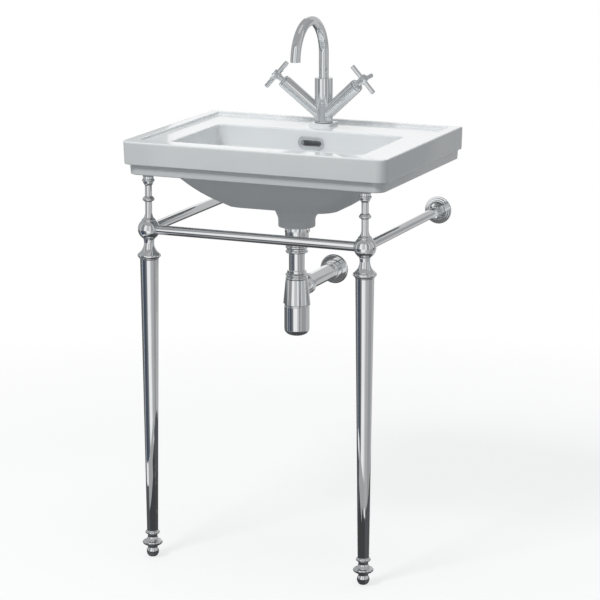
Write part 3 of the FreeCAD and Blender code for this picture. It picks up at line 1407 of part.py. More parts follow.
def make_tap():
    """The whole mixer tap."""
    make_tap_body()
    make_tap_base()
    make_spout()
    gather("valves", [make_valve_and_handle(word, side) for word, side in SIDES])


# --- the whole sink -------------------------------------------------------------------------------

def check_features():
    """Stop if anything failed to build, or if a cut took nothing away."""
    for thing in DOC.Objects:
        if {"Invalid", "Error"} & set(thing.State):
            raise RuntimeError(f"{thing.Name} failed: {thing.State}")
        if thing.TypeId in ("PartDesign::Pocket", "PartDesign::Groove", "PartDesign::SubtractiveLoft",
                            "PartDesign::SubtractiveCylinder"):
            if thing.BaseFeature.Shape.Volume - thing.Shape.Volume < 1e-3:
                raise RuntimeError(f"{thing.Name} cuts nothing")


def write_pieces():
    """Check each sub-part's shape and write it to its own file."""
    os.makedirs("parts", exist_ok=True)
    for piece in PIECES:
        shape = piece.Shape
        if shape.isNull() or not shape.isValid():
            raise RuntimeError(f"{piece.Label} has no valid shape")
        shape.exportStep(f"parts/{piece.Label}.step")


make_basin()
make_overflow_trim()
make_waste()
make_trap()
make_stand()
make_tap()
DOC.recompute()
check_features()
write_pieces()
print(f"{len(PIECES)} sub-parts written")
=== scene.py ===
"""The looks of a console wash basin on turned legs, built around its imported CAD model.

Metres, in the CAD's frame: +Z is up, the floor is at Z = 0, +Y points at the wall and X = 0 is the
centre line.
"""

import enum
import json
import logging
import math
from dataclasses import dataclass
from typing import Any, Iterable, Sequence

import bmesh
import bpy
from mathutils import Matrix, Vector

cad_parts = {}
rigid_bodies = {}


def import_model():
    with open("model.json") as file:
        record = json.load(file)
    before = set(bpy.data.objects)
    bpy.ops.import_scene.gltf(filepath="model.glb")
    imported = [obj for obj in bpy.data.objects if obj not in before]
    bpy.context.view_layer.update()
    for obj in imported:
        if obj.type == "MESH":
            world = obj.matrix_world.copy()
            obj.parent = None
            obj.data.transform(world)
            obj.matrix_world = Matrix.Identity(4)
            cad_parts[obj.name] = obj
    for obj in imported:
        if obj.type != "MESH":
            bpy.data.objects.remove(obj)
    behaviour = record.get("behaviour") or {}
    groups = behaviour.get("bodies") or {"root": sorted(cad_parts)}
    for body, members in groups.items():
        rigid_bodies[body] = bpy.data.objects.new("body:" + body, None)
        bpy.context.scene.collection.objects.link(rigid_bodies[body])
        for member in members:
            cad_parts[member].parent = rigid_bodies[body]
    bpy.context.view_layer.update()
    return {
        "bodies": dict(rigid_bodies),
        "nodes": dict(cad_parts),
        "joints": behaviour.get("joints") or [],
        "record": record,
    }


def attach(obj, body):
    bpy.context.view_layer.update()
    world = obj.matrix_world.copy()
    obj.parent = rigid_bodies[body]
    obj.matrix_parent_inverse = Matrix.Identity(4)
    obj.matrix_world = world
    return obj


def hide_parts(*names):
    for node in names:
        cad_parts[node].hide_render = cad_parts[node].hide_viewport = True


log = logging.getLogger("wash_basin")

Corner = tuple[float, ...]
Span = tuple[float, float]
Triple = tuple[float, float, float]
Colour = Triple
Stations = list[tuple[list[Vector], float]]

ROOT = "sink"
TINY = 1e-7
SIDES = (("left", -1), ("right", 1))


# --- places ---------------------------------------------------------------------------------------

def moved(x: float = 0.0, y: float = 0.0, z: float = 0.0) -> Matrix:
    """A shift."""
    return Matrix.Translation((x, y, z))


def rotated(degrees: float, axis: str) -> Matrix:
    """A rotation about an axis."""
    return Matrix.Rotation(math.radians(degrees), 4, axis)


def around(radius: float, angle: float, height: float = 0.0) -> Vector:
    """The point at an angle round the Z axis."""
    return Vector((radius * math.cos(angle), radius * math.sin(angle), height))


# --- shader trees ---------------------------------------------------------------------------------

class Field:
    """A shader socket that takes part in ordinary arithmetic."""

    def __init__(self, tree: "ShaderTree", socket: bpy.types.NodeSocket) -> None:
        """Wrap one output socket of a tree."""
        self.tree = tree
        self.socket = socket

    def _math(self, operation: str, first: Any, second: Any) -> "Field":
        """Add a Math node for one operation."""
        return self.tree.add("ShaderNodeMath", {"operation": operation}, {0: first, 1: second})

    def __add__(self, other: Any) -> "Field":
        """Sum."""
        return self._math("ADD", self, other)

    __radd__ = __add__

    def __sub__(self, other: Any) -> "Field":
        """Difference."""
        return self._math("SUBTRACT", self, other)

    def __rsub__(self, other: Any) -> "Field":
        """Difference, reflected."""
        return self._math("SUBTRACT", other, self)

    def __mul__(self, other: Any) -> "Field":
        """Product."""
        return self._math("MULTIPLY", self, other)

    __rmul__ = __mul__

    def at_most(self, other: Any) -> "Field":
        """The smaller of two values."""
        return self._math("MINIMUM", self, other)

    def at_least(self, other: Any) -> "Field":
        """The larger of two values."""
        return self._math("MAXIMUM", self, other)


class ShaderTree:
    """The node tree of one material or of the world."""

    def __init__(self, tree: bpy.types.NodeTree) -> None:
        """Take over a tree and empty it.

        Args:
            tree: The node tree to build in.
        """
        self.nodes = tree.nodes
        self.links = tree.links
        self.nodes.clear()

    def add(self, kind: str, settings: dict[str, Any] | None = None,
            sockets: dict[Any, Any] | None = None, out: int | str = 0) -> Field:
        """Add a node: its settings first, then the values or links of its sockets.

        Args:
            kind: The node's type.
            settings: Properties by name.
            sockets: Values or Fields by input name or number.
            out: The output that the result wraps.

        Returns:
            The chosen output.
        """
        node = self.nodes.new(kind)
        for name, value in (settings or {}).items():
            setattr(node, name, value)
        for key, value in (sockets or {}).items():
            if isinstance(value, Field):
                self.links.new(value.socket, node.inputs[key])
            else:
                node.inputs[key].default_value = value
        return Field(self, node.outputs[out])

    def finish(self, shader: Field, kind: str = "ShaderNodeOutputMaterial") -> None:
        """Send a shader to the tree's output."""
        node = self.nodes.new(kind)
        self.links.new(shader.socket, node.inputs["Surface"])

    def surface(self, sockets: dict[str, Any]) -> None:
        """Finish a material with one principled shader."""
        self.finish(self.add("ShaderNodeBsdfPrincipled", None, sockets))

    def light(self, kind: str, colour: Colour, strength: float = 1.0) -> Field:
        """A Background or Emission shader of one colour."""
        return self.add(kind, None, {"Color": (*colour, 1.0), "Strength": strength})

    def place(self, scale: Triple = (1.0, 1.0, 1.0)) -> Field:
        """The point being shaded, in the object's frame, stretched by a scale."""
        here = self.add("ShaderNodeTexCoord", out="Object")
        return self.add("ShaderNodeVectorMath", {"operation": "MULTIPLY"}, {0: here, 1: scale})

    def upright(self, kind: str) -> Field:
        """The Z of the shaded point's Position or Normal."""
        vector = self.add("ShaderNodeNewGeometry", out=kind)
        return self.add("ShaderNodeSeparateXYZ", None, {0: vector}, "Z")

    def noise(self, where: Field, scale: float, detail: float = 3.0, rough: float = 0.5) -> Field:
        """Cloudy noise from 0 to 1 at a place."""
        return self.add("ShaderNodeTexNoise", {"noise_dimensions": "3D"},
                        {"Vector": where, "Scale": scale, "Detail": detail, "Roughness": rough})

    def stretched(self, value: Field, low: float, high: float) -> Field:
        """Spread the part of a value between low and high over 0 to 1."""
        return self.add("ShaderNodeMapRange", {"clamp": True},
                        {"Value": value, "From Min": low, "From Max": high})

    def blend(self, share: Field, first: Colour, second: Colour) -> Field:
        """Mix two colours by a share."""
        sockets = {0: share, 6: (*first, 1.0), 7: (*second, 1.0)}
        return self.add("ShaderNodeMix", {"data_type": "RGBA"}, sockets, out=2)

    def bump(self, height: Field, distance: float) -> Field:
        """Turn a height into a normal."""
        sockets = {"Height": height, "Distance": distance, "Strength": 1.0}
        return self.add("ShaderNodeBump", None, sockets)


def new_material(name: str) -> tuple[bpy.types.Material, ShaderTree]:
    """Start an empty node material.

    Args:
        name: The material's name.

    Returns:
        The material and its tree.
    """
    material = bpy.data.materials.new(name)
    material.use_nodes = True
    return material, ShaderTree(material.node_tree)


# --- finishes -------------------------------------------------------------------------------------

class Slot(enum.Enum):
    """The record's material slots."""

    CERAMIC = "ceramic"
    CHROME = "chrome"
    STEEL = "steel"
    BRASS = "brass"
    RUBBER = "rubber"
    PLASTIC = "plastic"


@dataclass(frozen=True)
class GlazedCeramic:
    """White vitreous china under a clear glaze that pools and thins, and is dull underneath."""

    name: str = "white_glazed_ceramic"
    glaze: Colour = (0.865, 0.885, 0.893)
    thin_glaze: Colour = (0.835, 0.857, 0.868)
    gloss: float = 0.09
    dull: float = 0.17
    coat: float = 0.6
    coat_gloss: float = 0.04
    refraction: float = 1.5
    pooling_scale: float = 7.0
    ripple_scale: float = 38.0
    ripple_height: float = 0.000008
    speck_scale: float = 532.0
    speck_share: float = 0.2
    bare: float = 0.62
    bare_levels: Span = (0.782, 0.790)
    bare_facing: Span = (0.05, 0.25)

    def material(self) -> bpy.types.Material:
        """Build the glaze's material.

        Returns:
            The material.
        """
        material, tree = new_material(self.name)
        where = tree.place()
        above = tree.stretched(tree.upright("Position"), *self.bare_levels)
        glazed = above.at_least(tree.stretched(tree.upright("Normal"), *self.bare_facing))
        pooling = tree.stretched(tree.noise(where, self.pooling_scale, 4.0), 0.32, 0.68)
        speck = tree.stretched(tree.noise(where, self.speck_scale, 2.0), 0.62, 0.78)
        ripple = tree.noise(where, self.ripple_scale, 2.0, 0.4)
        thin = pooling * (1 - self.speck_share) + speck * self.speck_share
        shine = self.gloss + (self.dull - self.gloss) * pooling
        tree.surface({
            "Base Color": tree.blend(thin, self.glaze, self.thin_glaze),
            "Roughness": self.bare + (shine - self.bare) * glazed,
            "Normal": tree.bump(ripple, self.ripple_height),
            "Coat Weight": glazed * self.coat, "Coat Roughness": self.coat_gloss,
            "IOR": self.refraction,
        })
        return material


@dataclass(frozen=True)
class PlatedMetal:
    """Polished plating with faint wiping marks and a slight waviness."""

    name: str
    bright: Colour
    dim: Colour
    polish: float
    haze: float
    stretch: Triple = (1.0, 1.0, 0.45)
    mark_scale: float = 24.0
    fine_scale: float = 528.0
    fine_share: float = 0.4
    wave_scale: float = 55.0
    wave_height: float = 0.000012

    def material(self) -> bpy.types.Material:
        """Build the plating's material.

        Returns:
            The material.
        """
        material, tree = new_material(self.name)
        where = tree.place(self.stretch)
        marks = tree.stretched(tree.noise(where, self.mark_scale, 5.0, 0.6), 0.42, 0.72)
        fine = tree.stretched(tree.noise(where, self.fine_scale, 3.0, 0.7), 0.45, 0.75)
        wave = tree.noise(where, self.wave_scale, 2.0, 0.3)
        wiped = marks * (1 - self.fine_share) + fine * marks * self.fine_share
        tree.surface({
            "Base Color": tree.blend(marks, self.bright, self.dim), "Metallic": 1.0,
            "Roughness": self.polish + (self.haze - self.polish) * wiped,
            "Normal": tree.bump(wave, self.wave_height),
        })
        return material


@dataclass(frozen=True)
class BrushedMetal:
    """Drawn or turned metal with a fine grain along one direction."""

    name: str
    bright: Colour
    dim: Colour
    smooth: float
    rough: float
    grain: Triple = (900.0, 900.0, 30.0)
    grain_height: float = 0.00002
    stain_scale: float = 45.0
    stain_haze: float = 0.12

    def material(self) -> bpy.types.Material:
        """Build the metal's material.

        Returns:
            The material.
        """
        material, tree = new_material(self.name)
        grain = tree.noise(tree.place(self.grain), 1.0, 3.0, 0.6)
        stain = tree.stretched(tree.noise(tree.place(), self.stain_scale, 4.0), 0.4, 0.7)
        roughness = self.smooth + (self.rough - self.smooth) * grain + self.stain_haze * stain
        tree.surface({
            "Base Color": tree.blend(grain * 0.5 + stain * 0.5, self.bright, self.dim),
            "Metallic": 1.0, "Roughness": roughness,
            "Normal": tree.bump(grain, self.grain_height),
        })
        return material


@dataclass(frozen=True)
class MouldedPolymer:
    """Rubber or plastic with a fine moulded texture."""

    name: str
    body: Colour
    worn: Colour
    roughness: float
    texture_scale: float = 900.0
    texture_height: float = 0.00003
    wear_scale: float = 60.0
    wear_haze: float = 0.15

    def material(self) -> bpy.types.Material:
        """Build the polymer's material.

        Returns:
            The material.
        """
        material, tree = new_material(self.name)
        where = tree.place()
        texture = tree.noise(where, self.texture_scale, 2.0)
        wear = tree.stretched(tree.noise(where, self.wear_scale, 4.0), 0.4, 0.75)
        tree.surface({
            "Base Color": tree.blend(wear, self.body, self.worn),
            "Roughness": self.roughness + self.wear_haze * wear,
            "Normal": tree.bump(texture, self.texture_height),
        })
        return material


FINISHES = {
    Slot.CERAMIC: GlazedCeramic(),
    Slot.CHROME: PlatedMetal("bright_chrome_plate", (0.80, 0.812, 0.82), (0.76, 0.772, 0.785),
                             0.035, 0.065),
    Slot.STEEL: BrushedMetal("brushed_steel", (0.62, 0.63, 0.64), (0.46, 0.47, 0.48), 0.24, 0.42),
    Slot.BRASS: BrushedMetal("turned_brass", (0.78, 0.60, 0.30), (0.55, 0.40, 0.18), 0.22, 0.40),
    Slot.RUBBER: MouldedPolymer("black_rubber", (0.025, 0.025, 0.027), (0.05, 0.05, 0.052), 0.62),
    Slot.PLASTIC: MouldedPolymer("pale_plastic", (0.60, 0.61, 0.60), (0.52, 0.53, 0.52), 0.42),
}

PALE_RUBBER = MouldedPolymer("white_silicone_rubber", (0.52, 0.53, 0.54), (0.44, 0.45, 0.46), 0.45)
PALE_NODES = ("post_pads",)


# --- outlines and skins ---------------------------------------------------------------------------

ARC_STEP = math.radians(7)
STRAIGHT = math.radians(10)


def tube(bore: float, radius: float, start: float, end: float) -> list[Corner]:
    """The outline of a tube, or of a rod where its bore is 0."""
    return [(bore, start), (radius, start), (radius, end), (bore, end)]


def arc_points(start: Vector, end: Vector, bend: float) -> list[Vector]:
    """Points inside the arc from start to end.

    Args:
        start: Where the arc starts.
        end: Where the arc ends.
        bend: The arc's radius; over zero keeps its centre on the left.

    Returns:
        The points strictly between start and end.
    """
    chord = end - start
    rise = math.sqrt(max(bend * bend - (chord.length / 2) ** 2, 0.0))
    left = Vector((-chord.y, chord.x)).normalized()
    centre = (start + end) / 2 + left * math.copysign(rise, bend)
    first = start - centre
    turn = 2 * math.asin(min(chord.length / (2 * abs(bend)), 1.0)) * math.copysign(1.0, bend)
    count = max(int(math.ceil(abs(turn) / ARC_STEP)), 2)
    return [centre + Matrix.Rotation(turn * k / count, 2) @ first for k in range(1, count)]


def eased(before: Vector, corner: Vector, after: Vector, soft: float,
          steps: int = 3) -> list[Vector]:
    """Round a corner between its two neighbours, by at most soft from the corner.

    Args:
        before: The point before the corner.
        corner: The corner.
        after: The point after the corner.
        soft: The furthest that the easing reaches from the corner.
        steps: The number of parts in the rounded stretch.

    Returns:
        The rounded stretch, ends included.
    """
    arms = []
    for other in (before, after):
        run = other - corner
        reach = min(soft, run.length * 0.45)
        arms.append(corner + run.normalized() * reach if run.length > TINY else corner.copy())
    start, end = arms
    shares = [k / steps for k in range(steps + 1)]
    return [start * (1 - t) ** 2 + corner * (2 * t * (1 - t)) + end * t ** 2 for t in shares]


def turned_outline(corners: Sequence[Corner], soft: float) -> list[Vector]:
    """Trace a closed outline of (radius, level) or (radius, level, bend) corners, edges eased.

    Args:
        corners: The outline's corners; a bend makes an arc that leads to its corner.
        soft: How far from each hard corner the easing starts.

    Returns:
        The closed outline's points.
    """
    spots = [Vector(corner[:2]) for corner in corners]
    traced: list[tuple[Vector, bool]] = []
    for index, corner in enumerate(corners):
        if len(corner) > 2:
            traced += [(p, False) for p in arc_points(spots[index - 1], spots[index], corner[2])]
        traced.append((spots[index], True))
    points = []
    for index, (spot, hard) in enumerate(traced):
        before = traced[index - 1][0]
        after = traced[(index + 1) % len(traced)][0]
        on_axis = spot.x < TINY
        runs = (spot - before, after - spot)
        straight = min(r.length for r in runs) < TINY or runs[0].angle(runs[1]) < STRAIGHT
        if hard and soft > 0 and not on_axis and not straight:
            points += eased(before, spot, after, soft)
        else:
            points.append(spot)
    return points


class Skin:
    """Points and faces gathered for one piece."""

    def __init__(self) -> None:
        """Start empty."""
        self.points: list[Vector] = []
        self.faces: list[Sequence[int]] = []

    def loop(self, points: Iterable[Vector]) -> list[int]:
        """Add points and return their numbers.

        Args:
            points: The loop's points.

        Returns:
            The numbers of the new points.
        """
        first = len(self.points)
        self.points += [Vector(p) for p in points]
        return list(range(first, len(self.points)))

    def bridge(self, one: Sequence[int], two: Sequence[int]) -> None:
        """Join two closed loops of equal count with quads.

        Args:
            one: The first loop.
            two: The second loop.
        """
        count = len(one)
        for k in range(count):
            after = (k + 1) % count
            self.faces.append((one[k], one[after], two[after], two[k]))

    def fan(self, loop: Sequence[int], tip: int) -> None:
        """Close a loop to a single point."""
        for k, number in enumerate(loop):
            self.faces.append((number, loop[(k + 1) % len(loop)], tip))

    def turn(self, corners: Sequence[Corner], place: Matrix = Matrix(), sides: int = 72,
             soft: float = 0.0004) -> "Skin":
        """Turn a closed outline about the Z axis of a place.

        Args:
            corners: The outline, as for turned_outline.
            place: Where the axis lies.
            sides: The number of facets round the axis.
            soft: The easing of hard edges.

        Returns:
            This skin.
        """
        rings = []
        for spot in turned_outline(corners, soft):
            radius, level = max(spot.x, 0.0), spot.y
            if radius < TINY:
                rings.append(self.loop([place @ Vector((0, 0, level))]))
            else:
                angles = (2 * math.pi * k / sides for k in range(sides))
                rings.append(self.loop(place @ around(radius, a, level) for a in angles))
        for index, ring in enumerate(rings):
            other = rings[(index + 1) % len(rings)]
            if len(ring) == 1 and len(other) > 1:
                self.fan(other, ring[0])
            elif len(other) == 1 and len(ring) > 1:
                self.fan(ring, other[0])
            elif len(ring) > 1:
                self.bridge(ring, other)
        return self

    def path(self, stations: Sequence[tuple[Sequence[Vector], float]], closed: bool = True,
             steps: int = 4) -> "Skin":
        """Skin a row of loops, easing each station by its own distance.

        Args:
            stations: (loop points, easing distance) along the skin.
            closed: Whether the last loop joins the first.
            steps: The number of bands in each eased edge.

        Returns:
            This skin.
        """
        loops = []
        last = len(stations) - 1
        for index, (points, soft) in enumerate(stations):
            if soft <= 0 or (not closed and index in (0, last)):
                loops.append(self.loop(points))
                continue
            before = stations[index - 1][0]
            after = stations[(index + 1) % len(stations)][0]
            corners = [eased(b, c, a, soft, steps) for b, c, a in zip(before, points, after)]
            loops += [self.loop(corner[k] for corner in corners) for k in range(steps + 1)]
        pairs = zip(loops, loops[1:] + loops[:1]) if closed else zip(loops, loops[1:])
        for one, two in pairs:
            self.bridge(one, two)
        if not closed:
            self.faces += [tuple(loops[0]), tuple(loops[-1])]
        return self

    def block(self, low: Vector, high: Vector, soft: float, place: Matrix = Matrix()) -> "Skin":
        """Add a box with eased edges.

        Args:
            low: The box's lowest corner.
            high: Its highest corner.
            soft: The width of its eased edges.
            place: Where it stands.

        Returns:
            This skin.
        """
        made = bmesh.new()
        bmesh.ops.create_cube(made, size=1.0)
        size = high - low
        for point in made.verts:
            point.co = (low + high) / 2 + Vector(a * b for a, b in zip(point.co, size))
        bmesh.ops.bevel(made, geom=made.edges[:], offset=soft, segments=3, profile=0.5,
                        affect="EDGES")
        made.verts.index_update()
        first = len(self.points)
        self.points += [place @ point.co for point in made.verts]
        self.faces += [tuple(first + point.index for point in face.verts) for face in made.faces]
        made.free()
        return self

    def mesh(self, name: str) -> bpy.types.Mesh:
        """Make the mesh, welded and with its faces turned outwards.

        Args:
            name: The mesh's name.

        Returns:
            The mesh.
        """
        mesh = bpy.data.meshes.new(name)
        mesh.from_pydata([tuple(p) for p in self.points], [], [tuple(f) for f in self.faces])
        made = bmesh.new()
        made.from_mesh(mesh)
        bmesh.ops.remove_doubles(made, verts=made.verts[:], dist=1e-6)
        bmesh.ops.recalc_face_normals(made, faces=made.faces[:])
        made.to_mesh(mesh)
        made.free()
        return mesh


@dataclass(frozen=True)
class Ring:
    """A level rectangle with rounded corners, sampled so that any two rings match."""

    height: float
    half: float
    front: float
    back: float
    front_radius: float
    back_radius: float

    ARC_STEPS = 8
    SIDE_STEPS = 10

    def grown(self, offset: float, height: float | None = None) -> "Ring":
        """The same ring moved outwards by an offset, and up or down to a height.

        Args:
            offset: How far outwards it moves.
            height: The new height, or None for the same one.

        Returns:
            The new ring.
        """
        level = self.height if height is None else height
        return Ring(level, self.half + offset, self.front - offset, self.back + offset,
                    max(self.front_radius + offset, 0.0006), max(self.back_radius + offset, 0.0006))

    def points(self) -> list[Vector]:
        """The ring's points, counter-clockwise from the front left corner.

        Returns:
            The closed loop of points.
        """
        radii = (self.front_radius, self.front_radius, self.back_radius, self.back_radius)
        spots = ((-self.half, self.front), (self.half, self.front),
                 (self.half, self.back), (-self.half, self.back))
        inward = ((1, 1), (-1, 1), (-1, -1), (1, -1))
        corners = []
        for index, ((x, y), (dx, dy), radius) in enumerate(zip(spots, inward, radii)):
            start = math.pi + index * math.pi / 2
            centre = Vector((x + dx * radius, y + dy * radius, self.height))
            angles = (start + k / self.ARC_STEPS * math.pi / 2 for k in range(self.ARC_STEPS + 1))
            corners.append([centre + radius * around(1.0, a) for a in angles])
        points = []
        parts = self.SIDE_STEPS + 1
        for index, arc in enumerate(corners):
            run = corners[(index + 1) % 4][0] - arc[-1]
            points += arc
            points += [arc[-1] + run * (k / parts) for k in range(1, parts)]
        return points


def round_ring(height: float, y: float, radius: float) -> list[Vector]:
    """A circle with as many points as a Ring, its corners in line with the ring's corners.

    Args:
        height: The circle's height.
        y: Where its centre lies along Y.
        radius: Its radius.

    Returns:
        The circle's points.
    """
    count = 4 * (Ring.ARC_STEPS + 1 + Ring.SIDE_STEPS)
    start = math.radians(225) - 2 * math.pi * (Ring.ARC_STEPS / 2) / count
    angles = (start + 2 * math.pi * k / count for k in range(count))
    return [Vector((radius * math.cos(a), y + radius * math.sin(a), height)) for a in angles]


def between(one: Sequence[Vector], two: Sequence[Vector], share: float,
            height: float) -> list[Vector]:
    """A loop part of the way from one loop to another, at a height."""
    return [Vector((*(a.lerp(b, share)).xy, height)) for a, b in zip(one, two)]


def slot_loop(length: float, height: float, centre: Vector, steps: int = 14) -> list[Vector]:
    """A slot with round ends that faces along Y, as a loop about a centre.

    Args:
        length: The slot's whole length.
        height: Its height.
        centre: Its centre.
        steps: The number of parts in each round end.

    Returns:
        The slot's points.
    """
    reach = (length - height) / 2
    points = []
    for side in (1, -1):
        for k in range(steps + 1):
            angle = -math.pi / 2 + math.pi * k / steps
            x = side * (reach + height / 2 * math.cos(angle))
            points.append(centre + Vector((x, 0, side * height / 2 * math.sin(angle))))
    return points


# --- the workshop ---------------------------------------------------------------------------------

class Workshop:
    """Makes the pieces, gives each its finish and body, and hides the CAD nodes it stands for."""

    SHARP = math.radians(38)

    def __init__(self, frame: dict[str, Any]) -> None:
        """Build the finishes.
        """
        self.frame = frame
        self.finishes = {slot: finish.material() for slot, finish in FINISHES.items()}
        self.pale_rubber = PALE_RUBBER.material()

    def piece(self, name: str, skin: Skin | bpy.types.Mesh, *stands_for: str,
              slot: Slot = Slot.CHROME, body: str = ROOT) -> None:
        """Make a piece of the object.

        Args:
            name: The piece's name.
            skin: Its skin or its finished mesh.
            stands_for: The CAD nodes that it replaces.
            slot: The record's material slot.
            body: The CAD body that carries it.
        """
        mesh = skin.mesh(name) if isinstance(skin, Skin) else skin
        for face in mesh.polygons:
            face.use_smooth = True
        mesh.set_sharp_from_angle(angle=self.SHARP)
        mesh.materials.clear()
        mesh.materials.append(self.finishes[slot])
        made = bpy.data.objects.new(name, mesh)
        bpy.context.scene.collection.objects.link(made)
        weighted = made.modifiers.new("even_shading", "WEIGHTED_NORMAL")
        weighted.keep_sharp = True
        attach(made, body)
        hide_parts(*stands_for)
        log.info("%s: %d faces on %s", name, len(mesh.polygons), body)

    def turned(self, name: str, corners: Sequence[Corner], place: Matrix, node: str,
               body: str = ROOT, sides: int = 72, soft: float = 0.0004) -> None:
        """Turn a chrome piece about the Z axis of a place.

        Args:
            name: The piece's name.
            corners: Its outline, as for turned_outline.
            place: Where its axis lies.
            node: The CAD node that it replaces.
            body: The CAD body that carries it.
            sides: The number of facets round the axis.
            soft: The easing of hard edges.
        """
        self.piece(name, Skin().turn(corners, place, sides, soft), node, body=body)

    def cut(self, mesh: bpy.types.Mesh, cutters: Sequence[Skin]) -> bpy.types.Mesh:
        """Cut holes in a mesh.

        Args:
            mesh: The closed mesh to cut.
            cutters: The closed skins to take away.

        Returns:
            The cut mesh.
        """
        scene = bpy.context.scene.collection.objects
        blank = bpy.data.objects.new("blank", mesh)
        scene.link(blank)
        tools = []
        for cutter in cutters:
            tool = bpy.data.objects.new("cutter", cutter.mesh("cutter"))
            scene.link(tool)
            tools.append(tool)
            step = blank.modifiers.new("cut", "BOOLEAN")
            step.operation = "DIFFERENCE"
            step.solver = "EXACT"
            step.object = tool
        graph = bpy.context.evaluated_depsgraph_get()
        done = bpy.data.meshes.new_from_object(blank.evaluated_get(graph))
        for thing in (blank, *tools):
            bpy.data.objects.remove(thing)
        return done

    def keep(self, node: str, slot: Slot) -> None:
        """Leave a CAD node showing, with a finish of ours.

        Args:
            node: The CAD node.
            slot: The record's material slot.
        """
        finish = self.pale_rubber if node in PALE_NODES else self.finishes[slot]
        mesh = self.frame["nodes"][node].data
        mesh.materials.clear()
        mesh.materials.append(finish)
        log.info("%s: the CAD node stays, in %s", node, finish.name)


def joined(*meshes: bpy.types.Mesh) -> bpy.types.Mesh:
    """Join several meshes in one.

    Args:
        meshes: The meshes to join.

    Returns:
        The new mesh.
    """
    made = bmesh.new()
    for mesh in meshes:
        made.from_mesh(mesh)
    result = bpy.data.meshes.new(meshes[0].name)
    made.to_mesh(result)
    made.free()
    return result


# --- basin ----------------------------------------------------------------------------------------

@dataclass(frozen=True)
class BasinEdges:
    """How far from each of the basin's edges its easing starts."""

    pedestal_foot: float = 0.002
    bowl_foot: float = 0.006
    hollow_top: float = 0.006
    skirt_top: float = 0.005
    skirt_foot: float = 0.0025
    moulding_foot: float = 0.0024
    moulding_top: float = 0.0012
    slab_foot: float = 0.0018
    rim: float = 0.0038
    lip: float = 0.0022
    mouth: float = 0.0042
    bowl_floor: float = 0.012
    seat: float = 0.0015
    drain_top: float = 0.002
    drain_foot: float = 0.001
    landing_foot: float = 0.0012
    landing_top: float = 0.0014
    channel: float = 0.002
    block: float = 0.003


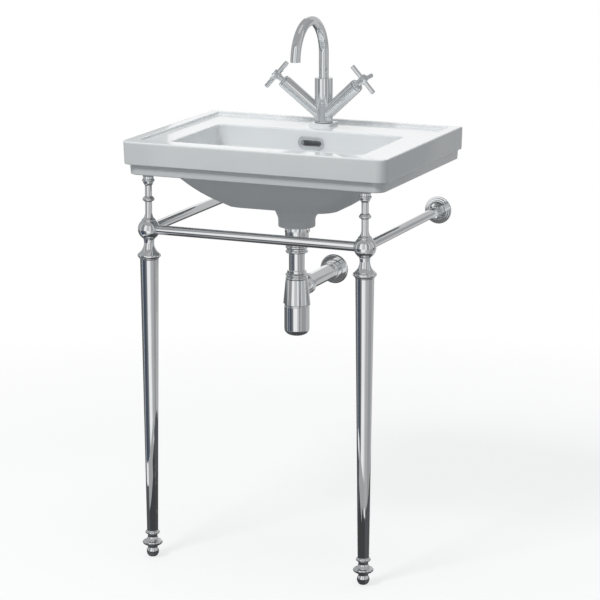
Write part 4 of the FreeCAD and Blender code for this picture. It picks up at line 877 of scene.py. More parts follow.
@dataclass
class Basin:
    """The ceramic basin: slab, moulding, bowl, hollow underside, drain pedestal and landing."""

    edges: BasinEdges = BasinEdges()
    half: float = 0.280
    front: float = -0.216
    wall: float = 0.216
    rim: float = 0.854
    slab_height: float = 0.046
    slab_draft: float = math.radians(1.75)
    corner: float = 0.020
    back_corner: float = 0.0012
    moulding_inset: float = 0.009
    moulding_height: float = 0.021
    moulding_draft: float = math.radians(3)
    moulding_corner: float = 0.022
    rim_side: float = 0.023
    rim_front: float = 0.037
    rim_back: float = 0.014
    rim_drop: float = 0.006
    rim_corner: float = 0.005
    rim_slope: float = 0.0008
    skirt: float = 0.012
    skirt_corner: float = 0.006
    deck_thickness: float = 0.012
    block_width: float = 0.046
    block_depth: float = 0.028
    leg_x: float = 0.230
    opening_half: float = 0.203
    opening_front: float = -0.160
    opening_back: float = 0.090
    opening_corner: float = 0.019
    bowl_wall: float = 0.011
    bowl_depth: float = 0.096
    bowl_floor: float = 0.012
    bowl_share: float = 0.97
    bowl_lift: float = 0.0012
    bowl_bands: int = 14
    floor_shares: tuple[float, ...] = (0.35, 0.7, 0.9)
    floor_bow: float = 1.2
    fullness: float = 1.3
    side_gather: float = 0.107
    front_gather: float = 0.086
    back_gather: float = 0.056
    shell_corner: float = 0.030
    corner_growth: float = 0.010
    drain_y: float = 0.015
    drain_radius: float = 0.023
    seat_radius: float = 0.033
    seat_fall: float = 0.0004
    floor_fall: float = 0.004
    pedestal_radius: float = 0.0375
    pedestal_flare: float = 0.013
    pedestal_length: float = 0.0485
    pedestal_sweep: tuple[Span, ...] = ((0.0, 0.034), (0.06, 0.030), (0.20, 0.025), (0.42, 0.019),
                                        (0.72, 0.010), (1.0, 0.0))
    lap: float = 0.004
    duct_half: float = 0.026
    duct_depth: float = 0.020
    duct_root: float = 0.006
    duct_inset: float = 0.014
    duct_bulge: float = 0.45
    duct_shares: tuple[float, ...] = (0.75, 0.48, 0.22, 0.0)
    duct_sweep: tuple[Triple, ...] = ((0.042, 0.0120, 0.022), (0.036, 0.0185, 0.026),
                                      (0.030, 0.0290, 0.029), (0.022, 0.0420, 0.031),
                                      (0.009, 0.0495, 0.030))
    channel_corners: tuple[Triple, Triple] = ((-0.020, 0.0045, -0.021), (0.020, 0.0265, 0.015))
    tap_y: float = 0.156
    tap_hole: float = 0.0175
    tap_cut: Span = (0.80, 0.86)
    landing_half: float = 0.023
    landing_corner: float = 0.004
    landing_root: float = 0.001
    landing_fillet: float = 0.0016
    overflow_level: float = 0.821
    overflow_size: Span = (0.049, 0.016)
    overflow_cut: Span = (-0.004, 0.014)
    wall_hole_x: float = 0.140
    wall_hole_level: float = 0.812
    wall_hole_radius: float = 0.007
    wall_hole_cut: Span = (-0.004, 0.018)

    def __post_init__(self) -> None:
        """Work out the levels that several surfaces share."""
        self.slab_bottom = self.rim - self.slab_height
        self.moulding_bottom = self.slab_bottom - self.moulding_height
        self.deck = self.rim - self.rim_drop
        self.deck_underside = self.deck - self.deck_thickness
        self.bowl_bottom = self.slab_bottom - self.bowl_depth
        self.pedestal_bottom = self.bowl_bottom - self.pedestal_length
        self.floor = self.bowl_bottom + self.bowl_floor
        self.seat = self.floor - self.floor_fall

    def shell(self, share: float, inset: float, height: float) -> Ring:
        """The bowl's shell at a share of its depth.

        Args:
            share: How far down the shell, from 0 to 1.
            inset: How far inside the outer face.
            height: The ring's height.

        Returns:
            The ring.
        """
        gather = 1 - (1 - share ** self.fullness) ** (1 / self.fullness)
        corner = self.shell_corner + self.corner_growth * gather - inset
        return Ring(height, self.opening_half + self.bowl_wall - self.side_gather * gather - inset,
                    self.opening_front - self.bowl_wall + self.front_gather * gather + inset,
                    self.opening_back + self.bowl_wall - self.back_gather * gather - inset,
                    corner, corner)

    def drain(self, height: float, radius: float) -> list[Vector]:
        """A circle about the drain's axis."""
        return round_ring(height, self.drain_y, radius)

    def underside(self) -> Stations:
        """From the pedestal's foot up the bowl's outside, the hollow and the moulding's foot.

        Returns:
            The stations, each a loop and the distance of its easing.
        """
        edges = self.edges
        stations = [(self.drain(self.pedestal_bottom, self.pedestal_radius), edges.pedestal_foot)]
        for share, drop in self.pedestal_sweep:
            radius = self.pedestal_radius + self.pedestal_flare * share
            stations.append((self.drain(self.bowl_bottom - drop, radius), 0.0))
        shell_foot = self.shell(self.bowl_share, 0, self.bowl_bottom + self.bowl_lift)
        stations.append((shell_foot.points(), edges.bowl_foot))
        last = self.bowl_bands - 1
        for band in reversed(range(last)):
            share = self.bowl_share * band / last
            ring = self.shell(share, 0, self.slab_bottom - share * self.bowl_depth)
            stations.append((ring.points(), 0.0))
        top = self.shell(0, 0, self.deck_underside)
        skirt = Ring(self.deck_underside, self.half - self.moulding_inset - self.skirt,
                     self.front + self.moulding_inset + self.skirt, self.wall - self.skirt,
                     self.skirt_corner, self.skirt_corner)
        stations += [(top.points(), edges.hollow_top), (skirt.points(), edges.skirt_top),
                     (skirt.grown(0, self.moulding_bottom).points(), edges.skirt_foot)]
        return stations

    def outside(self) -> Stations:
        """From the moulding's foot up the slab, over the rim and down to the deck.

        Returns:
            The stations, each a loop and the distance of its easing.
        """
        side = self.half - self.moulding_inset
        near = self.front + self.moulding_inset
        narrowing = math.tan(self.slab_draft) * self.slab_height
        taper = math.tan(self.moulding_draft) * self.moulding_height
        moulding_foot = Ring(self.moulding_bottom, side - taper, near + taper, self.wall,
                             self.moulding_corner, self.back_corner)
        moulding_top = Ring(self.slab_bottom, side, near, self.wall, self.moulding_corner,
                            self.back_corner)
        slab_foot = Ring(self.slab_bottom, self.half - narrowing, self.front + narrowing,
                         self.wall, self.corner, self.back_corner)
        slab_top = Ring(self.rim, self.half, self.front, self.wall, self.corner,
                        self.back_corner)
        lip = Ring(self.rim, self.half - self.rim_side, self.front + self.rim_front,
                   self.wall - self.rim_back, self.rim_corner, self.rim_corner)
        return [
            (moulding_foot.points(), self.edges.moulding_foot),
            (moulding_top.points(), self.edges.moulding_top),
            (slab_foot.points(), self.edges.slab_foot),
            (slab_top.points(), self.edges.rim),
            (lip.points(), self.edges.lip),
            (lip.grown(-self.rim_slope, self.deck).points(), self.edges.lip),
        ]

    def lining(self) -> Stations:
        """From the deck's edge down the bowl to its seat and the drain hole.

        Returns:
            The stations, each a loop and the distance of its easing.
        """
        mouth = Ring(self.deck, self.opening_half, self.opening_front, self.opening_back,
                     self.opening_corner, self.opening_corner)
        depth = self.slab_bottom - self.floor
        last = self.bowl_bands - 1
        stations = [(mouth.points(), self.edges.mouth)]
        for band in range(self.bowl_bands):
            share = band / last * depth / self.bowl_depth
            ring = self.shell(share, self.bowl_wall, self.slab_bottom - share * self.bowl_depth)
            stations.append((ring.points(), self.edges.bowl_floor if band == last else 0.0))
        edge = stations[-1][0]
        seat = self.drain(self.seat, self.seat_radius)
        for share in self.floor_shares:
            height = self.seat + (self.floor - self.seat) * (1 - share) ** self.floor_bow
            stations.append((between(edge, seat, share, height), 0.0))
        stations += [
            (seat, self.edges.seat),
            (self.drain(self.seat - self.seat_fall, self.drain_radius), self.edges.drain_top),
            (self.drain(self.pedestal_bottom, self.drain_radius), self.edges.drain_foot),
        ]
        return stations

    def landing(self) -> bpy.types.Mesh:
        """The raised square that the tap stands on, with its hole.

        Returns:
            The closed mesh.
        """
        half, corner, fillet = self.landing_half, self.landing_corner, self.landing_fillet
        root = self.deck - self.landing_root
        foot, top = self.edges.landing_foot, self.edges.landing_top
        base = Ring(root, half, self.tap_y - half, self.tap_y + half, corner, corner)
        stations = [
            (base.grown(fillet + 0.0002).points(), 0.0),
            (base.grown(fillet, self.deck + 0.0001).points(), foot),
            (base.grown(0, self.deck + fillet).points(), foot),
            (base.grown(0, self.rim).points(), top),
            (round_ring(self.rim, self.tap_y, self.tap_hole), foot),
            (round_ring(root, self.tap_y, self.tap_hole), 0.0),
        ]
        return Skin().path(stations).mesh("landing")

    def duct(self) -> bpy.types.Mesh:
        """The hump down the back of the bowl that holds the overflow's channel.

        Returns:
            The closed mesh.
        """
        near = self.drain_y + self.pedestal_radius - self.duct_inset
        loops = [self.duct_section(near, self.bowl_bottom - drop, depth, half)
                 for drop, depth, half in self.duct_sweep]
        levels = [(self.bowl_share, self.bowl_bottom + self.lap)]
        levels += [(share, self.slab_bottom - share * self.bowl_depth)
                   for share in self.duct_shares]
        levels.append((0.0, self.deck_underside + self.lap))
        for share, height in levels:
            y = self.shell(share, 0, height).back
            loops.append(self.duct_section(y, height, self.duct_depth, self.duct_half))
        return Skin().path([(loop, 0.0) for loop in loops], closed=False).mesh("duct")

    def duct_section(self, y: float, height: float, depth: float, half: float) -> list[Vector]:
        """One level section of the duct: a low arch on the shell.

        Args:
            y: Where the shell's outer face is.
            height: The section's height.
            depth: How far the duct stands out.
            half: Half the section's width.

        Returns:
            The section's closed loop.
        """
        steps, bulge = 12, self.duct_bulge
        points = [Vector((-half, y - self.duct_root, height))]
        for k in range(steps + 1):
            angle = math.pi - math.pi * k / steps
            x = half * math.copysign(abs(math.cos(angle)) ** bulge, math.cos(angle))
            points.append(Vector((x, y + depth * math.sin(angle) ** bulge, height)))
        points.append(Vector((half, y - self.duct_root, height)))
        return points

    def blocks(self) -> bpy.types.Mesh:
        """The solid corners over the two posts.

        Returns:
            The closed meshes of both corners, in one.
        """
        skin = Skin()
        near = self.front + self.moulding_inset + self.skirt
        for _, side in SIDES:
            inner = side * (self.leg_x - self.block_width / 2)
            outer = side * (self.half - self.moulding_inset - self.skirt / 2)
            low = Vector((min(inner, outer), near - self.skirt / 2, self.moulding_bottom + 0.0002))
            high = Vector((max(inner, outer), near + self.block_depth,
                           self.deck_underside + self.lap))
            skin.block(low, high, self.edges.block)
        return skin.mesh("blocks")

    def holes(self) -> list[Skin]:
        """What is cut from the casting: the holes of the tap, the overflow and the wall bolts.

        Returns:
            The cutters.
        """
        tap = Skin().turn(tube(0, self.tap_hole, *self.tap_cut), moved(y=self.tap_y), 48, 0)
        spots = [Vector((0, self.opening_back + y, self.overflow_level)) for y in self.overflow_cut]
        loops = [(slot_loop(*self.overflow_size, spot), 0.0) for spot in spots]
        holes = [tap, Skin().path(loops, closed=False)]
        for _, side in SIDES:
            place = moved(side * self.wall_hole_x, self.wall, self.wall_hole_level)
            outline = tube(0, self.wall_hole_radius, *self.wall_hole_cut)
            holes.append(Skin().turn(outline, place @ rotated(90, "X"), 32, 0))
        return holes

    def channel(self) -> Skin:
        """The overflow's way down inside the duct, next to its hole.

        Returns:
            The cutter.
        """
        low, high = (Vector((x, self.opening_back + y, self.overflow_level + z))
                     for x, y, z in self.channel_corners)
        return Skin().block(low, high, self.edges.channel)

    def build(self, shop: Workshop) -> None:
        """Make the basin.

        Args:
            shop: The workshop that makes the pieces.
        """
        skin = Skin().path(self.underside() + self.outside() + self.lining())
        body = shop.cut(skin.mesh("basin_skin"), self.holes())
        duct = shop.cut(self.duct(), [self.channel()])
        mesh = joined(body, self.landing(), duct, self.blocks())
        shop.piece("ceramic_basin", mesh, "basin", slot=Slot.CERAMIC)


@dataclass
class OverflowTrim:
    """The chrome trim that lines the overflow hole."""

    face: float = 0.090
    level: float = 0.821
    length: float = 0.058
    height: float = 0.025
    thickness: float = 0.0025
    mouth_length: float = 0.0444
    mouth_height: float = 0.0114
    sleeve: float = 0.0023
    play: float = 0.0006
    depth: float = 0.009

    def build(self, shop: Workshop) -> None:
        """Make the trim.

        Args:
            shop: The workshop that makes the pieces.
        """
        outer, mouth = (self.length, self.height), (self.mouth_length, self.mouth_height)
        sleeve = tuple(size + 2 * self.sleeve - self.play for size in mouth)
        near, end = self.face - self.thickness, self.face + self.depth
        rows = ((outer, self.face, 0.0004), (outer, near, 0.0011), (mouth, near, 0.0011),
                (mouth, end, 0.0003), (sleeve, end, 0.0003), (sleeve, self.face, 0.0003))
        stations = [(slot_loop(*size, Vector((0, y, self.level))), soft) for size, y, soft in rows]
        shop.piece("overflow_ring", Skin().path(stations), "overflow_trim")


# --- waste and trap -------------------------------------------------------------------------------

@dataclass
class WasteFitting:
    """The waste: flanged tube, plug and backnut."""

    drain_y: float = 0.015
    seat: float = 0.720
    flange: float = 0.0315
    flange_thickness: float = 0.0026
    thread: float = 0.02095
    thread_pitch: float = 0.0022
    thread_depth: float = 0.0006
    bore: float = 0.0175
    length: float = 0.101
    lift: float = 0.008
    plug_radius: float = 0.030
    plug_thickness: float = 0.0045
    plug_slope: float = 0.0035
    plug_crown: float = -0.42
    stem: float = 0.0045
    stem_length: float = 0.023
    nut_radius: float = 0.0238
    nut_top: float = 0.6635
    nut_height: float = 0.024
    nut_easing: float = 0.0012
    lug_reach: float = 0.0038
    lug_root: float = 0.0008
    lug_width: float = 0.009
    lug_height: float = 0.011

    def build(self, shop: Workshop) -> None:
        """Make the waste's pieces.

        Args:
            shop: The workshop that makes the pieces.
        """
        place = moved(y=self.drain_y)
        self.build_tube(shop, place)
        self.build_plug(shop, place)
        self.build_backnut(shop, place)

    def build_tube(self, shop: Workshop, place: Matrix) -> None:
        """Make the flanged tube, with its thread below the backnut.

        Args:
            shop: The workshop that makes the pieces.
            place: Where the piece stands, along its Z axis.
        """
        foot, top = self.seat - self.length, self.seat + self.flange_thickness
        half, pitch = self.flange_thickness / 2, self.thread_pitch
        outline = [(self.bore, foot), (self.thread, foot)]
        level = foot + pitch
        while level < self.nut_top - self.nut_height + pitch:
            outline += [(self.thread, level), (self.thread - self.thread_depth, level + pitch / 2)]
            level += pitch
        outline += [(self.thread, level), (self.thread, self.seat), (self.flange, self.seat),
                    (self.flange, self.seat + half), (self.flange - half, top), (self.bore, top)]
        shop.turned("waste_tube", outline, place, "waste_body", soft=0.0003)

    def build_plug(self, shop: Workshop, place: Matrix) -> None:
        """Make the plug's domed disc and stem.

        Args:
            shop: The workshop that makes the pieces.
            place: Where the piece stands, along its Z axis.
        """
        stem_foot = self.seat - self.stem_length
        bottom = self.seat + self.flange_thickness + self.lift
        radius, rise = self.plug_radius, self.plug_thickness
        outline = [(0, stem_foot), (self.stem, stem_foot), (self.stem, bottom), (radius, bottom),
                   (radius, bottom + rise * 0.4), (radius - self.plug_slope, bottom + rise * 0.92),
                   (0, bottom + rise, self.plug_crown)]
        shop.turned("waste_plug_disc", outline, place, "waste_plug", body="plug", soft=0.0008)

    def build_backnut(self, shop: Workshop, place: Matrix) -> None:
        """Make the backnut with its three lugs.

        Args:
            shop: The workshop that makes the pieces.
            place: Where the piece stands, along its Z axis.
        """
        outline = tube(self.thread, self.nut_radius, self.nut_top - self.nut_height, self.nut_top)
        skin = Skin().turn(outline, place, 72, self.nut_easing)
        half = self.lug_width / 2
        low = Vector((self.thread + self.lug_root, -half, self.nut_top - self.lug_height))
        high = Vector((self.nut_radius + self.lug_reach, half, self.nut_top - 0.0001))
        for k in range(3):
            skin.block(low, high, self.nut_easing, place @ rotated(120 * k, "Z"))
        shop.piece("waste_lock_nut", skin, "waste_backnut")


@dataclass
class BottleTrap:
    """The bottle trap with its nuts, wings, branch, outlet pipe and wall escutcheon."""

    drain_y: float = 0.015
    outlet_level: float = 0.5355
    play: float = 0.0002
    dip_radius: float = 0.016
    dip_bore: float = 0.0148
    dip_bottom: float = 0.470
    dip_top: float = 0.6175
    tail_nut: Triple = (0.0219, 0.6095, 0.6255)
    neck_nut: Triple = (0.0222, 0.5552, 0.5675)
    neck_crown: float = 0.0055
    crown_step: float = 0.0027
    ridge_bend: float = 0.62
    sleeve_top: Span = (0.0225, 0.555)
    sleeve_bottom: Span = (0.0255, 0.502)
    wing_reach: float = 0.0032
    wing_width: float = 0.009
    wing_root: float = 0.003
    cup_radius: float = 0.0255
    cup_side: float = 0.452
    cup_bottom: float = 0.4375
    cup_wall: float = 0.003
    branch_radius: float = 0.019
    nut_radius: float = 0.0225
    nut_start: float = 0.050
    nut_end: float = 0.066
    pipe_radius: float = 0.0162
    pipe_bore: float = 0.015
    pipe_inset: float = 0.0115
    wall: float = 0.216
    rose_radius: float = 0.031
    rose_thickness: float = 0.004
    rose_slope: float = 0.0022
    collar_radius: float = 0.0195
    collar_length: float = 0.035

    def build(self, shop: Workshop) -> None:
        """Make the trap's pieces.

        Args:
            shop: The workshop that makes the pieces.
        """
        place = moved(y=self.drain_y)
        along = moved(z=self.outlet_level) @ rotated(-90, "X")
        self.build_nuts(shop, place, along)
        dip = tube(self.dip_bore, self.dip_radius, self.dip_bottom, self.dip_top)
        shop.turned("dip_pipe", dip, place, "dip_tube", sides=64)
        self.build_sleeve(shop, place, along)
        self.build_cup(shop, place)
        pipe = tube(self.pipe_bore, self.pipe_radius, self.nut_start + self.pipe_inset, self.wall)
        shop.turned("waste_pipe", pipe, along, "outlet_pipe", sides=64)
        self.build_escutcheon(shop, along)

    def build_nuts(self, shop: Workshop, place: Matrix, along: Matrix) -> None:
        """Make the three slip nuts.

        Args:
            shop: The workshop that makes the pieces.
            place: Where the piece stands, along its Z axis.
            along: Where the outlet runs, along its Z axis.
        """
        skin = Skin()
        skin.turn(self.nut_outline(*self.tail_nut, 0.0), place, 72, 0.0005)
        skin.turn(self.nut_outline(*self.neck_nut, self.neck_crown), place, 72, 0.0005)
        branch = tube(self.pipe_radius + self.play, self.nut_radius, self.nut_start, self.nut_end)
        skin.turn(branch, along, 72, 0.0011)
        shop.piece("slip_nut_set", skin, "slip_nuts")

    def nut_outline(self, radius: float, bottom: float, top: float, crown: float) -> list[Corner]:
        """The outline of a nut on the dip pipe: two rounded ridges, a groove and a crown.

        Args:
            radius: The wider ridge's radius.
            bottom: The nut's lower end.
            top: The top of the wider ridge.
            crown: The height of the narrow ring above it.

        Returns:
            The outline's corners.
        """
        step = (top - bottom) / 3
        bend = step * self.ridge_bend
        bore, ring = self.dip_radius + self.play, radius - self.crown_step
        ridge, groove = radius - 0.0004, radius - 0.0019
        return [
            (bore, bottom), (ridge, bottom), (ridge, bottom + step, bend),
            (groove, bottom + step * 1.06), (groove, bottom + step * 1.55),
            (radius, bottom + step * 1.75), (radius, top - step * 0.35, bend),
            (ring, top), (ring, top + crown), (bore, top + crown),
        ]

    def build_sleeve(self, shop: Workshop, place: Matrix, along: Matrix) -> None:
        """Make the sleeve with its two wings and the side branch.

        Args:
            shop: The workshop that makes the pieces.
            place: Where the piece stands, along its Z axis.
            along: Where the outlet runs, along its Z axis.
        """
        top_radius, top = self.sleeve_top
        bottom_radius, bottom = self.sleeve_bottom
        inner = self.dip_radius + 0.0003
        outline = [(inner, bottom), (bottom_radius, bottom), (top_radius, top), (inner, top)]
        skin = Skin().turn(outline, place, 72, 0.0009)
        branch = tube(0.0, self.branch_radius, self.drain_y - 0.002, self.nut_start + 0.006)
        skin.turn(branch, along, 64, 0.0003)
        for side in (1, -1):
            skin.path(self.wing(side), closed=False)
        shop.piece("trap_sleeve", skin, "trap_body")

    def wing(self, side: int) -> Stations:
        """One grip wing down the side of the sleeve, as sections from top to bottom.

        Args:
            side: 1 for the wing towards +X, -1 for the other.

        Returns:
            The stations, each a loop and the distance of its easing.
        """
        top_radius, top = self.sleeve_top
        bottom_radius, bottom = self.sleeve_bottom
        half, root = self.wing_width / 2, -self.wing_root
        stations = []
        for share in (0.0, 0.25, 0.5, 0.75, 1.0):
            height = top - 0.0006 + (bottom - top + 0.0007) * share
            radius = top_radius + (bottom_radius - top_radius) * share
            reach = self.wing_reach * share ** 0.9 + 0.0001
            spots = ((root, -half), (reach * 0.75, -half), (reach, -half * 0.6),
                     (reach, half * 0.6), (reach * 0.75, half), (root, half))
            section = [Vector((side * (radius + x), self.drain_y + y, height)) for x, y in spots]
            stations.append((section, 0.0))
        return stations

    def build_cup(self, shop: Workshop, place: Matrix) -> None:
        """Make the cup with its domed bottom and the step under the sleeve.

        Args:
            shop: The workshop that makes the pieces.
            place: Where the piece stands, along its Z axis.
        """
        radius, side, top = self.cup_radius, self.cup_side, self.sleeve_bottom[1]
        inner, waist, drop = radius - self.cup_wall, radius - 0.0009, side - self.cup_bottom
        steps = 12
        cup = [(0.0, self.cup_bottom)]
        for k in range(1, steps + 1):
            angle = math.pi / 2 * k / steps
            cup.append((radius * math.sin(angle) ** 0.8, side - drop * math.cos(angle) ** 0.9))
        cup += [(radius, side + 0.004), (radius, top - 0.0032), (waist, top - 0.0026),
                (waist, top - 0.0002), (inner, top - 0.0002), (inner, side), (0.0, side)]
        shop.turned("trap_bottle", cup, place, "trap_cup", sides=80, soft=0.0005)

    def build_escutcheon(self, shop: Workshop, along: Matrix) -> None:
        """Make the wall escutcheon with its collar.

        Args:
            shop: The workshop that makes the pieces.
            along: Where the outlet runs, along its Z axis.
        """
        face, collar = self.wall - self.rose_thickness, self.collar_radius
        mouth = self.wall - self.collar_length
        outline = [
            (self.pipe_radius, self.wall), (self.rose_radius, self.wall),
            (self.rose_radius, self.wall - self.rose_thickness * 0.45),
            (self.rose_radius - self.rose_slope, face), (collar + 0.0008, face),
            (collar, face - 0.0012), (collar, mouth), (self.pipe_radius, mouth),
        ]
        shop.turned("pipe_rose", outline, along, "wall_escutcheon", sides=80, soft=0.0006)


# --- stand ----------------------------------------------------------------------------------------

@dataclass
class Stand:
    """The legs with their feet and posts, the tie rails and the wall roses."""

    leg_x: float = 0.230
    leg_y: float = -0.1925
    wall: float = 0.216
    ball_level: float = 0.678
    ball_radius: float = 0.022
    neck_radius: float = 0.0105
    neck_level: float = 0.646
    collar_radius: float = 0.0232
    collar_level: float = 0.6255
    leg_top: float = 0.6175
    leg_top_radius: float = 0.01825
    leg_bottom: float = 0.055
    leg_foot_radius: float = 0.01125
    ferrule_radius: float = 0.0146
    ferrule_bottom: float = 0.048
    ferrule_bend: float = 0.0042
    post_base_radius: float = 0.0135
    post_radius: float = 0.007
    post_top: float = 0.7845
    cap_radius: float = 0.0108
    bead_height: float = 0.0065
    lower_bead: Span = (0.0123, 0.739)
    upper_bead: float = 0.013
    foot_ball: float = 0.0124
    foot_ball_angle: float = math.radians(38)
    foot_rise: float = math.radians(60)
    disc_radius: float = 0.0202
    disc_level: float = 0.030
    stud_radius: float = 0.005
    stud_length: float = 0.010
    rail_radius: float = 0.0095
    rail_bore: float = 0.008
    rail_lap: float = 0.004
    rose_radius: float = 0.028
    rose_edge: float = 0.0006
    rose_face: float = 0.0040
    rose_step: float = 0.0024
    rose_recess: Span = (0.0203, 0.004)
    rose_neck: float = 0.0089
    rose_neck_length: float = 0.022
    spigot_radius: float = 0.0078
    spigot_length: float = 0.012
    screw_angle: float = 19.0
    screw_hole: float = 0.0027
    screw_cut: Span = (0.012, 0.026)

    def __post_init__(self) -> None:
        """Work out where the post's base meets the ball."""
        rise = math.sqrt(self.ball_radius ** 2 - self.post_base_radius ** 2)
        self.post_foot = self.ball_level + rise

    def build(self, shop: Workshop) -> None:
        """Make the stand's pieces.

        Args:
            shop: The workshop that makes the pieces.
        """
        near, end = self.leg_y + self.ball_radius - self.rail_lap, self.wall - self.rose_neck_length
        for word, side in SIDES:
            place = moved(side * self.leg_x, self.leg_y)
            self.build_leg(shop, word, side, place)
            self.build_foot(shop, word, place)
            self.build_post(shop, word, place)
            along = moved(side * self.leg_x, 0, self.ball_level) @ rotated(-90, "X")
            rail = tube(self.rail_bore, self.rail_radius, near, end)
            shop.turned(f"side_rail_{word}", rail, along, f"rail_{word}", sides=64)
            self.build_rose(shop, word, side)
        reach = self.leg_x - self.ball_radius + self.rail_lap
        across = moved(0, self.leg_y, self.ball_level) @ rotated(90, "Y")
        rail = tube(self.rail_bore, self.rail_radius, -reach, reach)
        shop.turned("front_tie_rail", rail, across, "rail_front", sides=64)

    def build_leg(self, shop: Workshop, word: str, side: int, place: Matrix) -> None:
        """Make a leg with its collar, neck and ball head, and the hole of its pinch screw.

        Args:
            shop: The workshop that makes the pieces.
            word: The side's name.
            side: -1 on the left, 1 on the right.
            place: Where the piece stands, along its Z axis.
        """
        throat = self.neck_radius + 0.001
        ball_foot = self.ball_level - math.sqrt(self.ball_radius ** 2 - throat ** 2)
        rise = self.collar_level - self.leg_top
        flare = self.neck_level - self.collar_level
        shoulder = self.leg_top_radius + 0.0014
        outline = [
            (0, self.ferrule_bottom), (self.neck_radius, self.ferrule_bottom),
            (self.ferrule_radius, self.ferrule_bottom + 0.0033, self.ferrule_bend),
            (self.leg_foot_radius + 0.0006, self.leg_bottom - 0.0002, self.ferrule_bend),
            (self.leg_foot_radius, self.leg_bottom + 0.0004),
            (self.leg_top_radius, self.leg_top), (shoulder, self.leg_top + rise * 0.22),
            (shoulder, self.leg_top + rise * 0.36),
            (self.collar_radius - 0.0008, self.leg_top + rise * 0.62),
            (self.collar_radius, self.collar_level, rise * 0.9),
            (self.collar_radius - 0.0011, self.collar_level + rise / 3, rise * 0.5),
            (self.neck_radius, self.neck_level, -flare * 1.3), (throat, ball_foot, -flare * 1.2),
            (self.post_base_radius, self.post_foot, self.ball_radius), (0, self.post_foot),
        ]
        bearing = -self.screw_angle if side > 0 else 180 + self.screw_angle
        hole = (moved(side * self.leg_x, self.leg_y, self.ball_level)
                @ rotated(bearing, "Z") @ rotated(90, "Y"))
        cutter = Skin().turn(tube(0, self.screw_hole, *self.screw_cut), hole, 28, 0)
        mesh = Skin().turn(outline, place, 96, 0.0004).mesh(f"leg_{word}")
        shop.piece(f"turned_leg_{word}", shop.cut(mesh, [cutter]), f"leg_{word}")

    def build_foot(self, shop: Workshop, word: str, place: Matrix) -> None:
        """Make a levelling foot: ball, waist, disc, neck and threaded stud.

        Args:
            shop: The workshop that makes the pieces.
            word: The side's name.
            place: Where the piece stands, along its Z axis.
        """
        ball, disc, level = self.foot_ball, self.disc_radius, self.disc_level
        neck = ball * math.cos(self.foot_ball_angle)
        neck_level = ball * math.sin(self.foot_rise) + ball * math.sin(self.foot_ball_angle)
        top, stud = self.ferrule_bottom - 0.0003, self.stud_radius
        outline = [
            (0, 0), (ball * 0.5, 0), (neck, neck_level, ball),
            (neck - 0.0002, neck_level + 0.0022, -0.004), (disc - 0.0030, level - 0.0040, -0.016),
            (disc - 0.0004, level - 0.0016), (disc, level + 0.0008),
            (disc - 0.0010, level + 0.0028), (neck + 0.0012, top - 0.0090, -0.017),
            (neck, top - 0.0060), (neck, top),
            (stud, top), (stud, top + self.stud_length), (0, top + self.stud_length),
        ]
        shop.turned(f"levelling_foot_{word}", outline, place, f"foot_{word}", body=f"{word}_foot",
                    sides=80, soft=0.0005)

    def build_post(self, shop: Workshop, word: str, place: Matrix) -> None:
        """Make a post with its base, two beads and cap.

        Args:
            shop: The workshop that makes the pieces.
            word: The side's name.
            place: Where the piece stands, along its Z axis.
        """
        rod, bead, base = self.post_radius, self.bead_height, self.post_foot
        foot, high_radius = self.post_base_radius, self.upper_bead
        low_radius, low = self.lower_bead
        cap = self.post_top - bead
        outline = [
            (0, base - 0.002), (foot - 0.001, base - 0.002), (foot, base),
            (foot, base + bead / 3, bead * 0.25), (foot - 0.001, base + bead / 2),
            (rod + bead / 4, base + bead * 1.35, -bead * 1.3), (rod, base + bead * 2.5, -bead * 3),
            (rod, low - bead * 0.86), (low_radius - 0.0016, low - bead * 0.52, bead * 1.5),
            (low_radius - 0.0012, low + bead * 0.16, bead * 0.40),
            (rod, low + bead * 0.84, bead * 1.5),
            (rod, cap - bead * 1.85), (high_radius - 0.0024, cap - bead * 0.66, bead * 2.0),
            (high_radius - 0.0016, cap - bead * 0.62),
            (high_radius - 0.0014, cap + bead * 0.04, bead * 0.40),
            (self.cap_radius, cap + bead * 0.2), (self.cap_radius, self.post_top),
            (0, self.post_top),
        ]
        shop.turned(f"turned_post_{word}", outline, place, "posts")

    def build_rose(self, shop: Workshop, word: str, side: int) -> None:
        """Make the stepped rose on the wall that holds a side rail.

        Args:
            shop: The workshop that makes the pieces.
            word: The side's name.
            side: -1 on the left, 1 on the right.
        """
        place = moved(side * self.leg_x, self.wall, self.ball_level) @ rotated(90, "X")
        step, edge = self.rose_radius / 8, self.rose_edge
        neck, end = self.rose_neck, self.rose_neck_length
        spigot, spigot_end = self.spigot_radius, end + self.spigot_length
        recess, back = self.rose_recess
        outline = [(0, back), (recess, back), (recess, 0), (self.rose_radius, 0)]
        for k in range(3):
            radius, level = self.rose_radius - k * step, self.rose_face + k * self.rose_step
            outline += [(radius, level - edge), (radius - edge, level, edge),
                        (radius - step, level)]
        outline += [
            (self.rose_radius - 3 * step - 0.0012, 0.0064), (neck + step, 0.0056),
            (neck, 0.0115, -0.006), (neck, end), (spigot, end), (spigot, spigot_end),
            (0, spigot_end),
        ]
        shop.turned(f"wall_rose_{word}", outline, place, "wall_flanges", sides=80, soft=0.0002)


# --- tap ------------------------------------------------------------------------------------------

